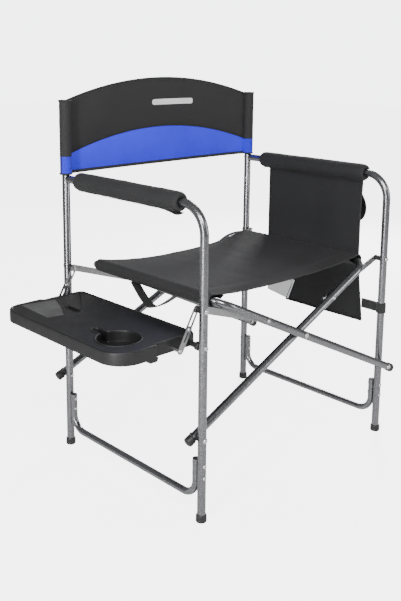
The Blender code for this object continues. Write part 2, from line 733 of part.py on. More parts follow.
def organizer(owner):
    """The organizer that hangs from the right arm: sleeve, panel, pocket, flap, snap and strap."""
    tube = sleeve([(RIGHT, -0.1780, ARM_Z), (RIGHT, 0.1810, ARM_Z)], TUBE_R + 0.0004, PAD_R, 16)
    add("organizer_sleeve", to_mesh(tube), BLACK_CLOTH, owner)
    half = 0.0020
    top = ARM_Z - PAD_R - 0.0004
    outline = [(0.1500, top), (0.1500, 0.4400), (0.0540, 0.3480), (0.0780, 0.2920), (-0.1820, 0.2950),
               (-0.1640, 0.4500), (-0.1640, 0.5800), (-0.1680, top)]
    hanging = prism(outline, "x", RIGHT - half, RIGHT + half)
    panel = add("organizer_panel", to_mesh(hanging), BLACK_CLOTH, owner)
    snap_y, snap_z = -0.0600, 0.3270
    eye = rod([(RIGHT - 0.01, snap_y, snap_z), (RIGHT + 0.01, snap_y, snap_z)], 0.0026, 8)
    cut(panel, [eye], "organizer_cutter")
    profile = [(-0.0016, 0), (-0.0016, 0.0026), (-GAP, 0.0040), (-GAP, 0.0021), (2 * half + GAP, 0.0021),
               (2 * half + GAP, 0.0040), (2 * half + 0.0012, 0.0036), (2 * half + 0.0012, 0)]
    snap = turned((RIGHT - half, snap_y, snap_z), (1, 0, 0), profile, 10)
    add("organizer_snap", to_mesh(snap), ZINC, owner)

    wall = 0.0016
    near = RIGHT + half + GAP
    far = near + 0.0100
    y_low, y_high = -0.1450, 0.1280
    z_low, z_high = 0.4000, 0.5500
    block = box((near, y_low, z_low), (far, y_high, z_high))
    pocket = add("organizer_pocket", to_mesh(block), BLACK_CLOTH, owner)
    room = box((near + wall, y_low + wall, z_low + wall), (far - wall, y_high - wall, z_high + 0.02))
    cut(pocket, [room], "pocket_cutter")

    sheet = 0.0018
    out = RIGHT + POCKET_OUT
    over = [(near, 0.6450), (near + 0.012, 0.6390), (out - 0.012, 0.6120), (out, 0.5920),
            (out - 0.003, 0.5740), (out - 0.016, 0.5640)]
    under = [(near, 0.6420), (near + 0.0105, 0.6365), (out - 0.0135, 0.6100), (out - sheet, 0.5910),
             (out - 0.0045, 0.5755), (out - 0.016, 0.5660)]
    flap = prism([*over, *reversed(under)], "y", -0.1500, 0.1300)
    add("organizer_flap", to_mesh(flap), BLACK_CLOTH, owner)

    layer = 0.0011
    slit = 0.0003
    inner = TUBE_R + 0.0005
    outer = inner + layer
    tail_y = -0.1830
    turn_out = math.degrees(math.asin((slit + layer) / outer))
    turn_in = math.degrees(math.asin(slit / inner))
    around = arc((RIGHT, -HALF_DEPTH), outer, 90 + turn_out, 450 - turn_out, 18)
    back_round = arc((RIGHT, -HALF_DEPTH), inner, 450 - turn_in, 90 + turn_in, 18)
    band = [(RIGHT - slit - layer, tail_y), *around, (RIGHT + slit + layer, tail_y),
            (RIGHT + slit, tail_y), *back_round, (RIGHT - slit, tail_y)]
    add("organizer_strap", to_mesh(prism(band, "z", 0.3300, 0.3550)), WEBBING, owner)
    corners = [(0.0690, 0.2960), (0.1480, 0.3080), (0.1480, 0.3700), (0.0460, 0.3560)]
    label = prism(corners, "x", RIGHT - half - 0.0012, RIGHT - half - GAP)
    add("care_label", to_mesh(label), LABEL, owner)


# ---- assembly ------------------------------------------------------------------------------------
crossing = (0, 0, CROSS_Z)
body("left_frame", (LEFT, 0, 0))
body("cross_frame_b", (LEFT, 0, LOWER_PIVOT_Z))
body("cross_frame_a", crossing)
body("right_frame", (RIGHT, 0, LOWER_PIVOT_Z))
body("left_links", (LEFT, 0, LINK_Z))
body("right_links", (RIGHT, 0, LINK_Z))
body("table", (LEFT, 0, TABLE_HINGE_Z))
body("brace_uppers", (LEFT, 0, LINK_Z))
body("brace_lowers", (TABLE_RIVET[0], 0, TABLE_RIVET[1]))

side_frame("left", "left_frame")
side_frame("right", "right_frame")
for side, lean, owner in (("left", 1, "left_frame"), ("right", -1, "right_frame")):
    lower_pivots(side, lean, owner)
    link_bolts(side, owner)
    side_links(side, f"{side}_links")
cross_frame("a", -1, "cross_frame_a")
cross_frame("b", 1, "cross_frame_b")
crossing_pivots("cross_frame_a")
side_table("table")
table_hinges("left_frame")
braces("brace_uppers", "brace_lowers")
post_sleeve("left", "left_frame")
post_sleeve("right", "right_frame")
backrest("left_frame")
seat("cross_frame_b", "cross_frame_a", "cross_frame_b")
carry_handle("cross_frame_a")
arm_pad("left_frame")
organizer("right_frame")

for empty in BODIES.values():
    empty.location.x += CENTRE_SHIFT
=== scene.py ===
import math

import bmesh
import bpy
from mathutils import Matrix, Vector, noise


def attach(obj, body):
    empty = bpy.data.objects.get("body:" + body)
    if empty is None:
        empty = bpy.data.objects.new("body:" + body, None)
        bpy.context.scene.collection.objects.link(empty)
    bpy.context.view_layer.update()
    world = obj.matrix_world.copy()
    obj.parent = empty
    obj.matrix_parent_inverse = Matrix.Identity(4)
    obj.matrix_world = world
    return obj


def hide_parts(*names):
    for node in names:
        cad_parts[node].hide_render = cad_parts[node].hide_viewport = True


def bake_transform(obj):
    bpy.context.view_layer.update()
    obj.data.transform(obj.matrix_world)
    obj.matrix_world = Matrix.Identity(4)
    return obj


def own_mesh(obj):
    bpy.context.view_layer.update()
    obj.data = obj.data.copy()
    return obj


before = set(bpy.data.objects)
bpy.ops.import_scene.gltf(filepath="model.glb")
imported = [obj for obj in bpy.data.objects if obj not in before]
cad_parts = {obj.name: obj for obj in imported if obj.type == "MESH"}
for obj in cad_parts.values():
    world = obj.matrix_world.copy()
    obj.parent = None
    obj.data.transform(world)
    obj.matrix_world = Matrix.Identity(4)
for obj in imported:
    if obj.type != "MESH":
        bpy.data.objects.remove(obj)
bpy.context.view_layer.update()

# The chair is built about its own centre plane and moved by SHIFT into the frame of the CAD model.
SHIFT = 0.078
HALF_WIDTH, HALF_DEPTH = 0.325, 0.242
TUBE_R, STRETCHER_R, GAP = 0.0095, 0.008, 0.0003
ARM_Z, ARM_BEND, POST_TOP = 0.692, 0.062, 0.872
LINK_Z, TABLE_HINGE_Z, LOWER_PIVOT_Z = 0.4735, 0.3936, 0.1888
RIVET_Z = (0.1294, 0.1030)
STRETCHER_TOP, STRETCHER_Z, STRETCHER_BEND = 0.1400, 0.0500, 0.038
CROSS_Z, RAIL_REACH, TAIL = 0.3468, 0.2925, 0.020
CROSS_TOP_Y, CROSS_OUTER_Y, CROSS_INNER_Y, CROSS_BEND = 0.232, 0.2655, 0.2185, 0.045
FOLD_DEG = 49.5
OUTER_LINK, INNER_LINK, LINK_HALF = (0.2225, 0.2255), (0.2157, 0.2187), 0.0078
FRONT_UPPER, FRONT_LOWER = (0.2198, 0.2218), (0.2222, 0.2240)
BACK_UPPER, BACK_LOWER, BRACE_HALF = (0.2130, 0.2150), (0.2154, 0.2172), 0.0075
TABLE_RIVET, UPPER_BRACE = (-0.372, 0.3925), 0.046
BACKREST_BOTTOM, BACKREST_SIDE_TOP = 0.704, 0.882
LEFT, RIGHT = -HALF_WIDTH, HALF_WIDTH
LOWER_REACH = math.hypot(HALF_WIDTH, CROSS_Z - LOWER_PIVOT_Z)
OPEN_ANGLE = math.atan2(CROSS_Z - LOWER_PIVOT_Z, HALF_WIDTH)
LEG_LENGTH = LOWER_REACH + RAIL_REACH
SINES = math.sin(OPEN_ANGLE) + math.sin(OPEN_ANGLE + math.radians(FOLD_DEG))
LINK_REACH = 1 / (2 * SINES / (LINK_Z - LOWER_PIVOT_Z) - 1 / LOWER_REACH)
WAYS = ("front", -1), ("back", 1)


# ---- materials ----
class Nodes:
    """A material's node tree with short calls for the nodes used here."""

    def __init__(self, name, roughness, metallic=0.0):
        self.made = bpy.data.materials.new(name)
        self.made.use_nodes = True
        self.tree = self.made.node_tree
        self.shader = self.tree.nodes["Principled BSDF"]
        self.shader.inputs["Roughness"].default_value = roughness
        self.shader.inputs["Metallic"].default_value = metallic
        self.place = self.node("ShaderNodeTexCoord").outputs["Object"]

    def node(self, kind, **settings):
        made = self.tree.nodes.new(kind)
        for key, value in settings.items():
            setattr(made, key, value)
        return made

    def link(self, source, target):
        self.tree.links.new(source, target)

    def math(self, operation, first, second=None):
        made = self.node("ShaderNodeMath", operation=operation)
        for socket, value in zip(made.inputs, (first, second)):
            if value is None:
                continue
            if isinstance(value, (int, float)):
                socket.default_value = value
            else:
                self.link(value, socket)
        return made.outputs[0]

    def noise(self, scale, detail=2.0, stretch=None):
        made = self.node("ShaderNodeTexNoise")
        made.inputs["Scale"].default_value = scale
        made.inputs["Detail"].default_value = detail
        place = self.place
        if stretch:
            mapping = self.node("ShaderNodeMapping")
            mapping.inputs["Scale"].default_value = stretch
            self.link(place, mapping.inputs["Vector"])
            place = mapping.outputs[0]
        self.link(place, made.inputs["Vector"])
        return made.outputs["Fac"]

    def ramp(self, source, stops):
        made = self.node("ShaderNodeValToRGB")
        elements = made.color_ramp.elements
        while len(elements) < len(stops):
            elements.new(0.5)
        for element, (position, colour) in zip(elements, stops):
            element.position = position
            element.color = (*colour, 1.0)
        self.link(source, made.inputs["Fac"])
        return made.outputs["Color"]

    def span(self, source, low, high, start=0.0, end=1.0):
        made = self.node("ShaderNodeMapRange")
        for key, value in (("From Min", start), ("From Max", end), ("To Min", low), ("To Max", high)):
            made.inputs[key].default_value = value
        self.link(source, made.inputs["Value"])
        return made.outputs["Result"]

    def bump(self, height, strength, distance):
        made = self.node("ShaderNodeBump")
        made.inputs["Strength"].default_value = strength
        made.inputs["Distance"].default_value = distance
        self.link(height, made.inputs["Height"])
        self.link(made.outputs["Normal"], self.shader.inputs["Normal"])


def shade(colour, factor):
    return tuple(min(1.0, c * factor) for c in colour)


def coated_steel():
    """Hammered silver-vein coating: pale veins over a darker ground."""
    m = Nodes("frame_coating", 0.3, 0.95)
    veins = m.node("ShaderNodeTexVoronoi", feature="DISTANCE_TO_EDGE")
    veins.inputs["Scale"].default_value = 330
    wander = m.node("ShaderNodeTexNoise")
    wander.inputs["Scale"].default_value = 160
    m.link(m.place, wander.inputs["Vector"])
    moved = m.node("ShaderNodeVectorMath", operation="MULTIPLY_ADD")
    m.link(wander.outputs["Color"], moved.inputs[0])
    moved.inputs[1].default_value = (0.004, 0.004, 0.004)
    m.link(m.place, moved.inputs[2])
    m.link(moved.outputs[0], veins.inputs["Vector"])
    edge = veins.outputs["Distance"]
    stops = [(0.0, (0.36, 0.36, 0.37)), (0.12, (0.21, 0.21, 0.22)), (0.40, (0.085, 0.085, 0.09))]
    colour = m.ramp(edge, stops)
    m.link(colour, m.shader.inputs["Base Color"])
    m.link(m.span(m.noise(60, 3), 0.18, 0.30), m.shader.inputs["Roughness"])
    m.shader.inputs["Coat Weight"].default_value = 0.35
    m.shader.inputs["Coat Roughness"].default_value = 0.12
    m.bump(edge, 0.25, 0.0004)
    return m.made


def plated(name, tone, roughness):
    """Plated steel with faint drawn lines and smudges."""
    m = Nodes(name, roughness, 1.0)
    lines = m.noise(900, 2, (1.0, 0.15, 0.15))
    colour = m.ramp(m.noise(140, 3), [(0.3, (tone * 0.82,) * 3), (0.7, (tone, tone, tone * 1.02))])
    m.link(colour, m.shader.inputs["Base Color"])
    m.link(m.span(lines, roughness * 0.75, roughness * 1.4), m.shader.inputs["Roughness"])
    m.bump(lines, 0.15, 0.0002)
    return m.made


def moulded(name, tone, roughness, grain):
    """Moulded plastic with a fine grained skin."""
    m = Nodes(name, roughness)
    fine = m.noise(grain, 3)
    colour = m.ramp(m.noise(35, 4), [(0.3, (tone * 0.8,) * 3), (0.75, (tone * 1.3,) * 3)])
    m.link(colour, m.shader.inputs["Base Color"])
    m.link(m.span(m.noise(22, 3), roughness * 0.8, roughness * 1.25), m.shader.inputs["Roughness"])
    m.bump(fine, 0.22, 0.00025)
    return m.made


def woven(name, colour, across, yarn=0.0007, roughness=0.82, sheen=0.25, puckers=0.0):
    """Plain-woven cloth; across names its yarns' two axes, or is ("round_y", centre x, centre z, radius)."""
    m = Nodes(name, roughness)
    m.shader.inputs["Sheen Weight"].default_value = sheen
    m.shader.inputs["Sheen Roughness"].default_value = 0.45
    parts = m.node("ShaderNodeSeparateXYZ")
    m.link(m.place, parts.inputs[0])
    x, y, z = parts.outputs
    if across[0] == "round_y":
        centre_x, centre_z, radius = across[1:]
        turn = m.math("ARCTAN2", m.math("SUBTRACT", z, centre_z), m.math("SUBTRACT", x, centre_x + SHIFT))
        ways = m.math("MULTIPLY", turn, radius), y
    else:
        ways = [{"x": x, "y": y, "z": z}[axis] for axis in across]
    weave = m.math("MULTIPLY", *[m.math("SINE", m.math("MULTIPLY", way, math.pi / yarn)) for way in ways])
    cloudy = m.noise(14, 4)
    fibres = m.noise(1400, 2)
    marks = m.math("ADD", m.math("MULTIPLY", cloudy, 0.55), m.math("MULTIPLY", fibres, 0.35))
    mixed = m.math("ADD", m.math("MULTIPLY", weave, 0.22), marks)
    tint = m.ramp(mixed, [(0.05, shade(colour, 0.62)), (0.45, colour), (0.85, shade(colour, 1.45))])
    m.link(tint, m.shader.inputs["Base Color"])
    m.link(m.span(cloudy, roughness - 0.08, min(1.0, roughness + 0.08)), m.shader.inputs["Roughness"])
    height = m.math("ADD", m.math("MULTIPLY", weave, 0.5), m.math("MULTIPLY", m.noise(55, 3), puckers))
    m.bump(height, 0.45, 0.0004)
    return m.made


# How bright the camera sees the floor and the world, and how strongly the world lights the object.
FLOOR_GLOW, WORLD_LIGHT, WORLD_SEEN = 4.4, 0.27, 5.0


def floor_paint():
    """A pale floor that glows for the camera only."""
    m = Nodes("studio_floor", 0.7)
    colour = m.ramp(m.noise(3, 2), [(0.3, (0.80, 0.80, 0.80)), (0.7, (0.84, 0.84, 0.84))])
    m.link(colour, m.shader.inputs["Base Color"])
    seen = m.node("ShaderNodeLightPath").outputs["Is Camera Ray"]
    m.shader.inputs["Emission Color"].default_value = (1, 1, 1, 1)
    m.link(m.math("MULTIPLY", seen, FLOOR_GLOW), m.shader.inputs["Emission Strength"])
    return m.made


COATED = coated_steel()
ZINC = plated("zinc", 0.80, 0.24)
LINK_METAL = plated("link_steel", 0.42, 0.30)
BLACK_PLASTIC = moulded("black_plastic", 0.018, 0.45, 900)
TABLE_PLASTIC = moulded("table_plastic", 0.011, 0.46, 700)
BLACK = (0.016, 0.016, 0.017)
BLUE = (0.030, 0.030, 0.96)
PIPING = woven("piping", (0.012, 0.012, 0.013), ("x", "z"), 0.0005, 0.6, 0.1)
WEBBING = woven("webbing", (0.014, 0.014, 0.015), ("y", "z"), 0.0011, 0.7, 0.15)


# ---- shapes ----
def piece(name, bm, look, body, stands_for=(), sharp=40, bevel=0.0, blend=None):
    """A finished piece: moved into the CAD's frame, smoothed, given its material and its body."""
    bmesh.ops.recalc_face_normals(bm, faces=bm.faces)
    mesh = bpy.data.meshes.new(name)
    bm.to_mesh(mesh)
    bm.free()
    mesh.transform(Matrix.Translation((SHIFT, 0, 0)))
    mesh.materials.append(look)
    obj = bpy.data.objects.new(name, mesh)
    bpy.context.scene.collection.objects.link(obj)
    if bevel:
        edge = obj.modifiers.new("edges", "BEVEL")
        edge.width = bevel
        edge.segments = 2
        edge.limit_method = "ANGLE"
        edge.angle_limit = math.radians(40)
        bake(obj)
    obj.data.shade_smooth()
    obj.data.set_sharp_from_angle(angle=math.radians(sharp))
    if bevel:
        normals = obj.modifiers.new("normals", "WEIGHTED_NORMAL")
        normals.weight = 100
        normals.keep_sharp = True
        bake(obj)
    if blend is None:
        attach(obj, body)
    else:
        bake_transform(obj)
    if stands_for:
        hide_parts(*stands_for)
    return obj


def bake(obj):
    """Replaces the mesh by the mesh that its modifiers make."""
    bpy.context.view_layer.update()
    graph = bpy.context.evaluated_depsgraph_get()
    made = bpy.data.meshes.new_from_object(obj.evaluated_get(graph))
    obj.modifiers.clear()
    obj.data = made


def skin(bm, first, second, closed=True):
    count = len(first)
    for k in range(count if closed else count - 1):
        bm.faces.new((first[k], first[(k + 1) % count], second[(k + 1) % count], second[k]))


def circle(sides):
    """Points evenly round the unit circle."""
    turns = [2 * math.pi * k / sides for k in range(sides)]
    return [(math.cos(turn), math.sin(turn)) for turn in turns]


def rounded_path(corners, radius, steps=12):
    corners = [Vector(c) for c in corners]
    path = [corners[0]]
    for before, corner, after in zip(corners, corners[1:], corners[2:]):
        towards, away = (before - corner).normalized(), (after - corner).normalized()
        half = towards.angle(away) / 2
        centre = corner + (towards + away).normalized() * (radius / math.sin(half))
        start = corner + towards * (radius / math.tan(half))
        end = corner + away * (radius / math.tan(half))
        normal = (start - centre).cross(end - centre).normalized()
        for i in range(steps + 1):
            turn = Matrix.Rotation((math.pi - 2 * half) * i / steps, 3, normal)
            path.append(centre + turn @ (start - centre))
    path.append(corners[-1])
    return path


def tube_into(bm, path, radius, sides=20, caps=True):
    """Adds a round tube along a path to bm; radius may be a number or one per point."""
    path = [Vector(p) for p in path]
    radii = radius if hasattr(radius, "__len__") else [radius] * len(path)
    made, side = [], None
    for i, point in enumerate(path):
        ahead, behind = path[min(i + 1, len(path) - 1)] - point, point - path[max(i - 1, 0)]
        if max(ahead.length, behind.length) > 2 * min(ahead.length, behind.length):
            tangent = max(ahead, behind, key=lambda run: run.length).normalized()
        else:
            tangent = (ahead.normalized() + behind.normalized()).normalized()
        if side is None:
            side = Vector((1, 0, 0)) if abs(tangent.x) < 0.5 else Vector((0, 1, 0))
        side = (side - tangent * side.dot(tangent)).normalized()
        up = tangent.cross(side)
        made.append([bm.verts.new(point + (side * c + up * s) * radii[i]) for c, s in circle(sides)])
    for first, second in zip(made, made[1:]):
        skin(bm, first, second)
    if caps:
        bm.faces.new(made[0])
        bm.faces.new(made[-1])
    return bm


def tube(path, radius, sides=20):
    return tube_into(bmesh.new(), path, radius, sides)


def turned_into(bm, start, direction, profile, sides=20):
    """Adds a turned solid; profile points are (distance along the axis, radius)."""
    axis = Vector(direction).normalized()
    side = Vector((0, 0, 1)) if abs(axis.z) < 0.5 else Vector((1, 0, 0))
    side = (side - axis * side.dot(axis)).normalized()
    up = axis.cross(side)
    made = []
    for along, radius in profile:
        centre = Vector(start) + axis * along
        count = 1 if radius == 0 else sides
        made.append([bm.verts.new(centre + (side * c + up * s) * radius) for c, s in circle(count)])
    for first, second in zip(made, made[1:]):
        if len(first) == 1 or len(second) == 1:
            tip, ring = (first[0], second) if len(first) == 1 else (second[0], first)
            for k in range(sides):
                bm.faces.new((tip, ring[k], ring[(k + 1) % sides]))
        else:
            skin(bm, first, second)
    return bm


def turned(start, direction, profile, sides=20):
    return turned_into(bmesh.new(), start, direction, profile, sides)


def prism_into(bm, outline, axis, low, high, inner=None):
    """Adds a flat outline pushed along y or z, with one opening if inner is given."""
    def wall(line):
        levels = [[(a, d, b) if axis == "y" else (a, b, d) for a, b in line] for d in (low, high)]
        made = [[bm.verts.new(point) for point in level] for level in levels]
        skin(bm, *made)
        return made

    near, far = wall(outline)
    if inner is None:
        bm.faces.new(near)
        bm.faces.new(far)
        return bm
    near_in, far_in = wall(inner)
    skin(bm, near, near_in)
    skin(bm, far, far_in)
    return bm


def prism(outline, axis, low, high, inner=None):
    return prism_into(bmesh.new(), outline, axis, low, high, inner)


def arc(centre, radius, start_deg, end_deg, steps):
    points = []
    for i in range(steps + 1):
        angle = math.radians(start_deg + (end_deg - start_deg) * i / steps)
        points.append((centre[0] + radius * math.cos(angle), centre[1] + radius * math.sin(angle)))
    return points


def stadium(start, end, radius, steps=10):
    angle = math.degrees(math.atan2(end[1] - start[1], end[0] - start[0]))
    points = arc(end, radius, angle - 90, angle + 90, steps)
    return points + arc(start, radius, angle + 90, angle + 270, steps)


def dome_into(bm, point, direction, radius=0.0046, height=0.0026):
    """Adds a domed head whose flat side sits on point."""
    profile = [(-0.0006, 0), (-0.0006, radius), (0.0004, radius), (height * 0.55, radius * 0.86),
               (height * 0.85, radius * 0.55), (height, 0)]
    return turned_into(bm, point, direction, profile, 18)


# ---- cross frames' geometry ----
def along_cross(lean, reach, low_y, front_or_back):
    y = low_y + (CROSS_TOP_Y - low_y) * reach / LEG_LENGTH
    x = -lean * HALF_WIDTH + lean * reach * math.cos(OPEN_ANGLE)
    return Vector((x, front_or_back * y, LOWER_PIVOT_Z + reach * math.sin(OPEN_ANGLE)))


def cross_leg(lean, side):
    return CROSS_OUTER_Y if lean * side > 0 else CROSS_INNER_Y


def cross_corners(lean):
    return [along_cross(lean, reach, cross_leg(lean, side), side)
            for reach, side in ((-TAIL, -1), (LEG_LENGTH, -1), (LEG_LENGTH, 1), (-TAIL, 1))]


RAIL_X = along_cross(1, LEG_LENGTH, 0, 1).x
RAIL_Z = along_cross(1, LEG_LENGTH, 0, 1).z


# ---- frames ----
def side_frame(side):
    x, owner = (LEFT, "left_frame") if side == "left" else (RIGHT, "right_frame")
    arm = [(x, -HALF_DEPTH, 0.004), (x, -HALF_DEPTH, ARM_Z), (x, HALF_DEPTH - TUBE_R - GAP, ARM_Z)]
    shape = tube(rounded_path(arm, ARM_BEND, 18), TUBE_R, 28)
    piece(f"{side}_leg_and_arm", shape, COATED, owner, [f"{side}_leg_and_arm_tube"])
    post = [(x, HALF_DEPTH, 0.004), (x, HALF_DEPTH, POST_TOP - 0.0015), (x, HALF_DEPTH, POST_TOP)]
    shape = tube(post, [TUBE_R, TUBE_R, TUBE_R - 0.0012], 28)
    piece(f"{side}_post", shape, COATED, owner, [f"{side}_back_post"])
    inset = HALF_DEPTH - TUBE_R - GAP - STRETCHER_R
    corners = [(x, -inset, STRETCHER_TOP), (x, -inset, STRETCHER_Z),
               (x, inset, STRETCHER_Z), (x, inset, STRETCHER_TOP)]
    shape = tube(rounded_path(corners, STRETCHER_BEND, 14), STRETCHER_R, 24)
    piece(f"{side}_stretcher", shape, COATED, owner, [f"{side}_lower_stretcher"])
    heads, plugs = bmesh.new(), bmesh.new()
    for way in (-1, 1):
        for z in RIVET_Z:
            dome_into(heads, (x, way * (HALF_DEPTH + TUBE_R - 0.0004), z), (0, way, 0), 0.0048, 0.0028)
            dome_into(heads, (x, way * (inset - STRETCHER_R + 0.0004), z), (0, -way, 0), 0.0042, 0.0022)
        bore = STRETCHER_R - 0.0012
        profile = [(-0.003, 0), (-0.003, bore), (0, bore), (0, STRETCHER_R - 0.0002),
                   (0.0010, STRETCHER_R - 0.0004), (0.0020, STRETCHER_R * 0.6), (0.0024, 0)]
        turned_into(plugs, (x, way * inset, STRETCHER_TOP), (0, 0, 1), profile, 20)
    dome_into(heads, (x, HALF_DEPTH + TUBE_R - 0.0004, ARM_Z), (0, 1, 0), 0.0050, 0.0028)
    piece(f"{side}_stretcher_rivets", heads, ZINC, owner)
    piece(f"{side}_stretcher_plugs", plugs, BLACK_PLASTIC, owner)
    cup = [(0, 0), (0, 0.0104), (0.0008, 0.0116), (0.0022, 0.0122), (0.0065, 0.0122), (0.0072, 0.0118),
           (0.0080, 0.0122), (0.0140, 0.0119), (0.0160, 0.0117), (0.0170, 0.0108), (0.0170, 0.0094),
           (0.004, 0.0094), (0.004, 0)]
    for place, way in WAYS:
        shape = turned((x, way * HALF_DEPTH, 0), (0, 0, 1), cup, 28)
        piece(f"{side}_{place}_foot_cup", shape, BLACK_PLASTIC, owner, [f"{side}_{place}_foot"])


def bolt(x, z, head_y, tip_y):
    """A domed bolt with a washer under its head and a six-sided nut."""
    way = 1 if tip_y > head_y else -1
    length = abs(tip_y - head_y)
    head = [(-0.0032, 0), (-0.0031, 0.0016), (-0.0026, 0.0034), (-0.0016, 0.0047), (-0.0004, 0.0054),
            (0, 0.0054), (0, 0.0028), (length - 0.003, 0.0028), (length - 0.003, 0)]
    washer = [(-0.0001, 0), (-0.0001, 0.0064), (0.0005, 0.0066), (0.0005, 0)]
    nut = [(length - 0.0032, 0), (length - 0.0032, 0.0040), (length - 0.0029, 0.0048),
           (length - 0.0008, 0.0048), (length - 0.0003, 0.0040), (length, 0.0030), (length, 0)]
    bm = bmesh.new()
    for profile, sides in ((head, 20), (washer, 24), (nut, 6)):
        turned_into(bm, (x, head_y, z), (0, way, 0), profile, sides)
    return bm


def lower_pivots(side, lean, owner):
    x = -lean * HALF_WIDTH
    spacers = bmesh.new()
    for place, way in WAYS:
        leg = cross_leg(lean, way)
        if leg > HALF_DEPTH:
            outside, inside = way * (leg + TUBE_R + 0.0006), way * (HALF_DEPTH - TUBE_R - GAP - 0.0030)
        else:
            outside, inside = way * (HALF_DEPTH + TUBE_R + GAP), way * (leg - TUBE_R - 0.0034)
        screw = bolt(x, LOWER_PIVOT_Z, outside, inside)
        piece(f"{side}_{place}_lower_bolt", screw, ZINC, owner, [f"{side}_{place}_lower_pivot_bolt"], 30)
        near, far = sorted((leg, HALF_DEPTH))
        spacer = [(x, way * y, LOWER_PIVOT_Z) for y in (near + TUBE_R - 0.002, far - TUBE_R + 0.002)]
        tube_into(spacers, spacer, 0.0066, 18)
    piece(f"{side}_lower_spacers", spacers, BLACK_PLASTIC, owner)


def cross_frame(letter, lean):
    owner = f"cross_frame_{letter}"
    corners = cross_corners(lean)
    shape = tube(rounded_path(corners, CROSS_BEND, 16), TUBE_R, 28)
    piece(f"cross_frame_tube_{letter}", shape, COATED, owner, [f"cross_tube_{letter}"])
    bore, skirt = TUBE_R - 0.0002, TUBE_R + 0.0016
    cap = [(0.001, 0), (0.001, bore), (-0.0125, bore), (-0.0128, skirt - 0.0008), (-0.0120, skirt),
           (0.0006, skirt), (0.0022, skirt * 0.93), (0.0033, skirt * 0.75), (0.0036, skirt * 0.5),
           (0.0036, 0)]
    for place, end, inner in (("front", corners[0], corners[1]), ("back", corners[3], corners[2])):
        shape = turned(end, end - inner, cap, 28)
        stands_for = [f"cross_tube_{letter}_{place}_cap"]
        piece(f"cross_{letter}_{place}_end_cap", shape, BLACK_PLASTIC, owner, stands_for)
    heads = bmesh.new()
    for way in (-1, 1):
        point = along_cross(lean, LOWER_REACH + LINK_REACH, cross_leg(lean, way), way)
        dome_into(heads, point + Vector((0, way * (TUBE_R - 0.0004), 0)), (0, way, 0), 0.0048, 0.0026)
    piece(f"cross_{letter}_rivet_heads", heads, ZINC, owner)


def crossing_pivots():
    washers = bmesh.new()
    for place, way in WAYS:
        first = along_cross(-1, LOWER_REACH, cross_leg(-1, way), way).y
        second = along_cross(1, LOWER_REACH, cross_leg(1, way), way).y
        inner, outer = sorted((abs(first), abs(second)))
        shank = bolt(0, CROSS_Z, way * (outer + TUBE_R + 0.0006), way * (inner - TUBE_R - 0.0036))
        piece(f"{place}_crossing_screw", shank, ZINC, "cross_frame_a", [f"{place}_crossing_bolt"], 30)
        washer = [(0, way * y, CROSS_Z) for y in (inner + TUBE_R - 0.001, outer - TUBE_R + 0.001)]
        tube_into(washers, washer, 0.0074, 20)
    piece("crossing_washers", washers, BLACK_PLASTIC, "cross_frame_a")


# ---- links and braces ----
def link_planes(lean, way):
    return OUTER_LINK if lean * way > 0 else INNER_LINK


def side_links(side):
    lean, x, frame_body = (-1, LEFT, "left_frame") if side == "left" else (1, RIGHT, "right_frame")
    spacers = bmesh.new()
    for place, way in WAYS:
        near, far = link_planes(lean, way)
        post = (lean * HALF_WIDTH, LINK_Z)
        rivet = along_cross(lean, LOWER_REACH + LINK_REACH, 0, 1)
        low, high = sorted((way * near, way * far))
        bm = prism(stadium(post, (rivet.x, rivet.z), LINK_HALF), "y", low, high)
        links = f"{side}_links"
        piece(f"{side}_{place}_flat_link", bm, LINK_METAL, links, [f"{side}_{place}_link"], 35, 0.0006)
        bm = dome_into(bmesh.new(), (rivet.x, way * (near + 0.0002), rivet.z), (0, -way, 0), 0.0047, 0.0024)
        piece(f"{side}_{place}_link_pin", bm, ZINC, links, [f"{side}_{place}_link_rivet"])
        inner = near
        if side == "left":
            inner = FRONT_UPPER[0] if way < 0 else BACK_UPPER[0]
        pin = bolt(x, LINK_Z, way * (HALF_DEPTH + TUBE_R + GAP), way * (inner - GAP - 0.0032))
        piece(f"{side}_{place}_link_screw", pin, ZINC, frame_body, [f"{side}_{place}_link_bolt"], 30)
        spacer = [(x, way * y, LINK_Z) for y in (far + 0.0002, HALF_DEPTH - TUBE_R + 0.002)]
        tube_into(spacers, spacer, 0.0064, 18)
    piece(f"{side}_link_spacers", spacers, BLACK_PLASTIC, frame_body)


def braces():
    top, rivet = Vector((LEFT, LINK_Z)), Vector(TABLE_RIVET)
    down = (rivet - top).normalized()
    elbow = top + down * UPPER_BRACE
    pins = bmesh.new()
    window = stadium(top + down * 0.0120, elbow - down * 0.0075, 0.0036)
    slit = stadium(elbow + down * 0.0070, elbow + down * 0.0270, 0.0019)
    levels = ("front", -1, FRONT_UPPER, FRONT_LOWER), ("back", 1, BACK_UPPER, BACK_LOWER)
    for place, way, upper, lower in levels:
        for part, planes, start, end, hole in (("upper", upper, top, elbow, window),
                                               ("lower", lower, elbow, rivet, slit)):
            low, high = sorted(way * d for d in planes)
            plate = prism(stadium(start, end, BRACE_HALF), "y", low, high, hole)
            owner, stands_for = f"brace_{part}s", [f"{place}_brace_{part}"]
            piece(f"{place}_{part}_brace", plate, LINK_METAL, owner, stands_for, 35, 0.0004)
        dome_into(pins, (elbow.x, way * (upper[0] + 0.0002), elbow.y), (0, -way, 0), 0.0040, 0.0020)
        dome_into(pins, (elbow.x, way * (lower[1] - 0.0002), elbow.y), (0, way, 0), 0.0040, 0.0020)
    piece("brace_elbow_pins", pins, ZINC, "brace_uppers")


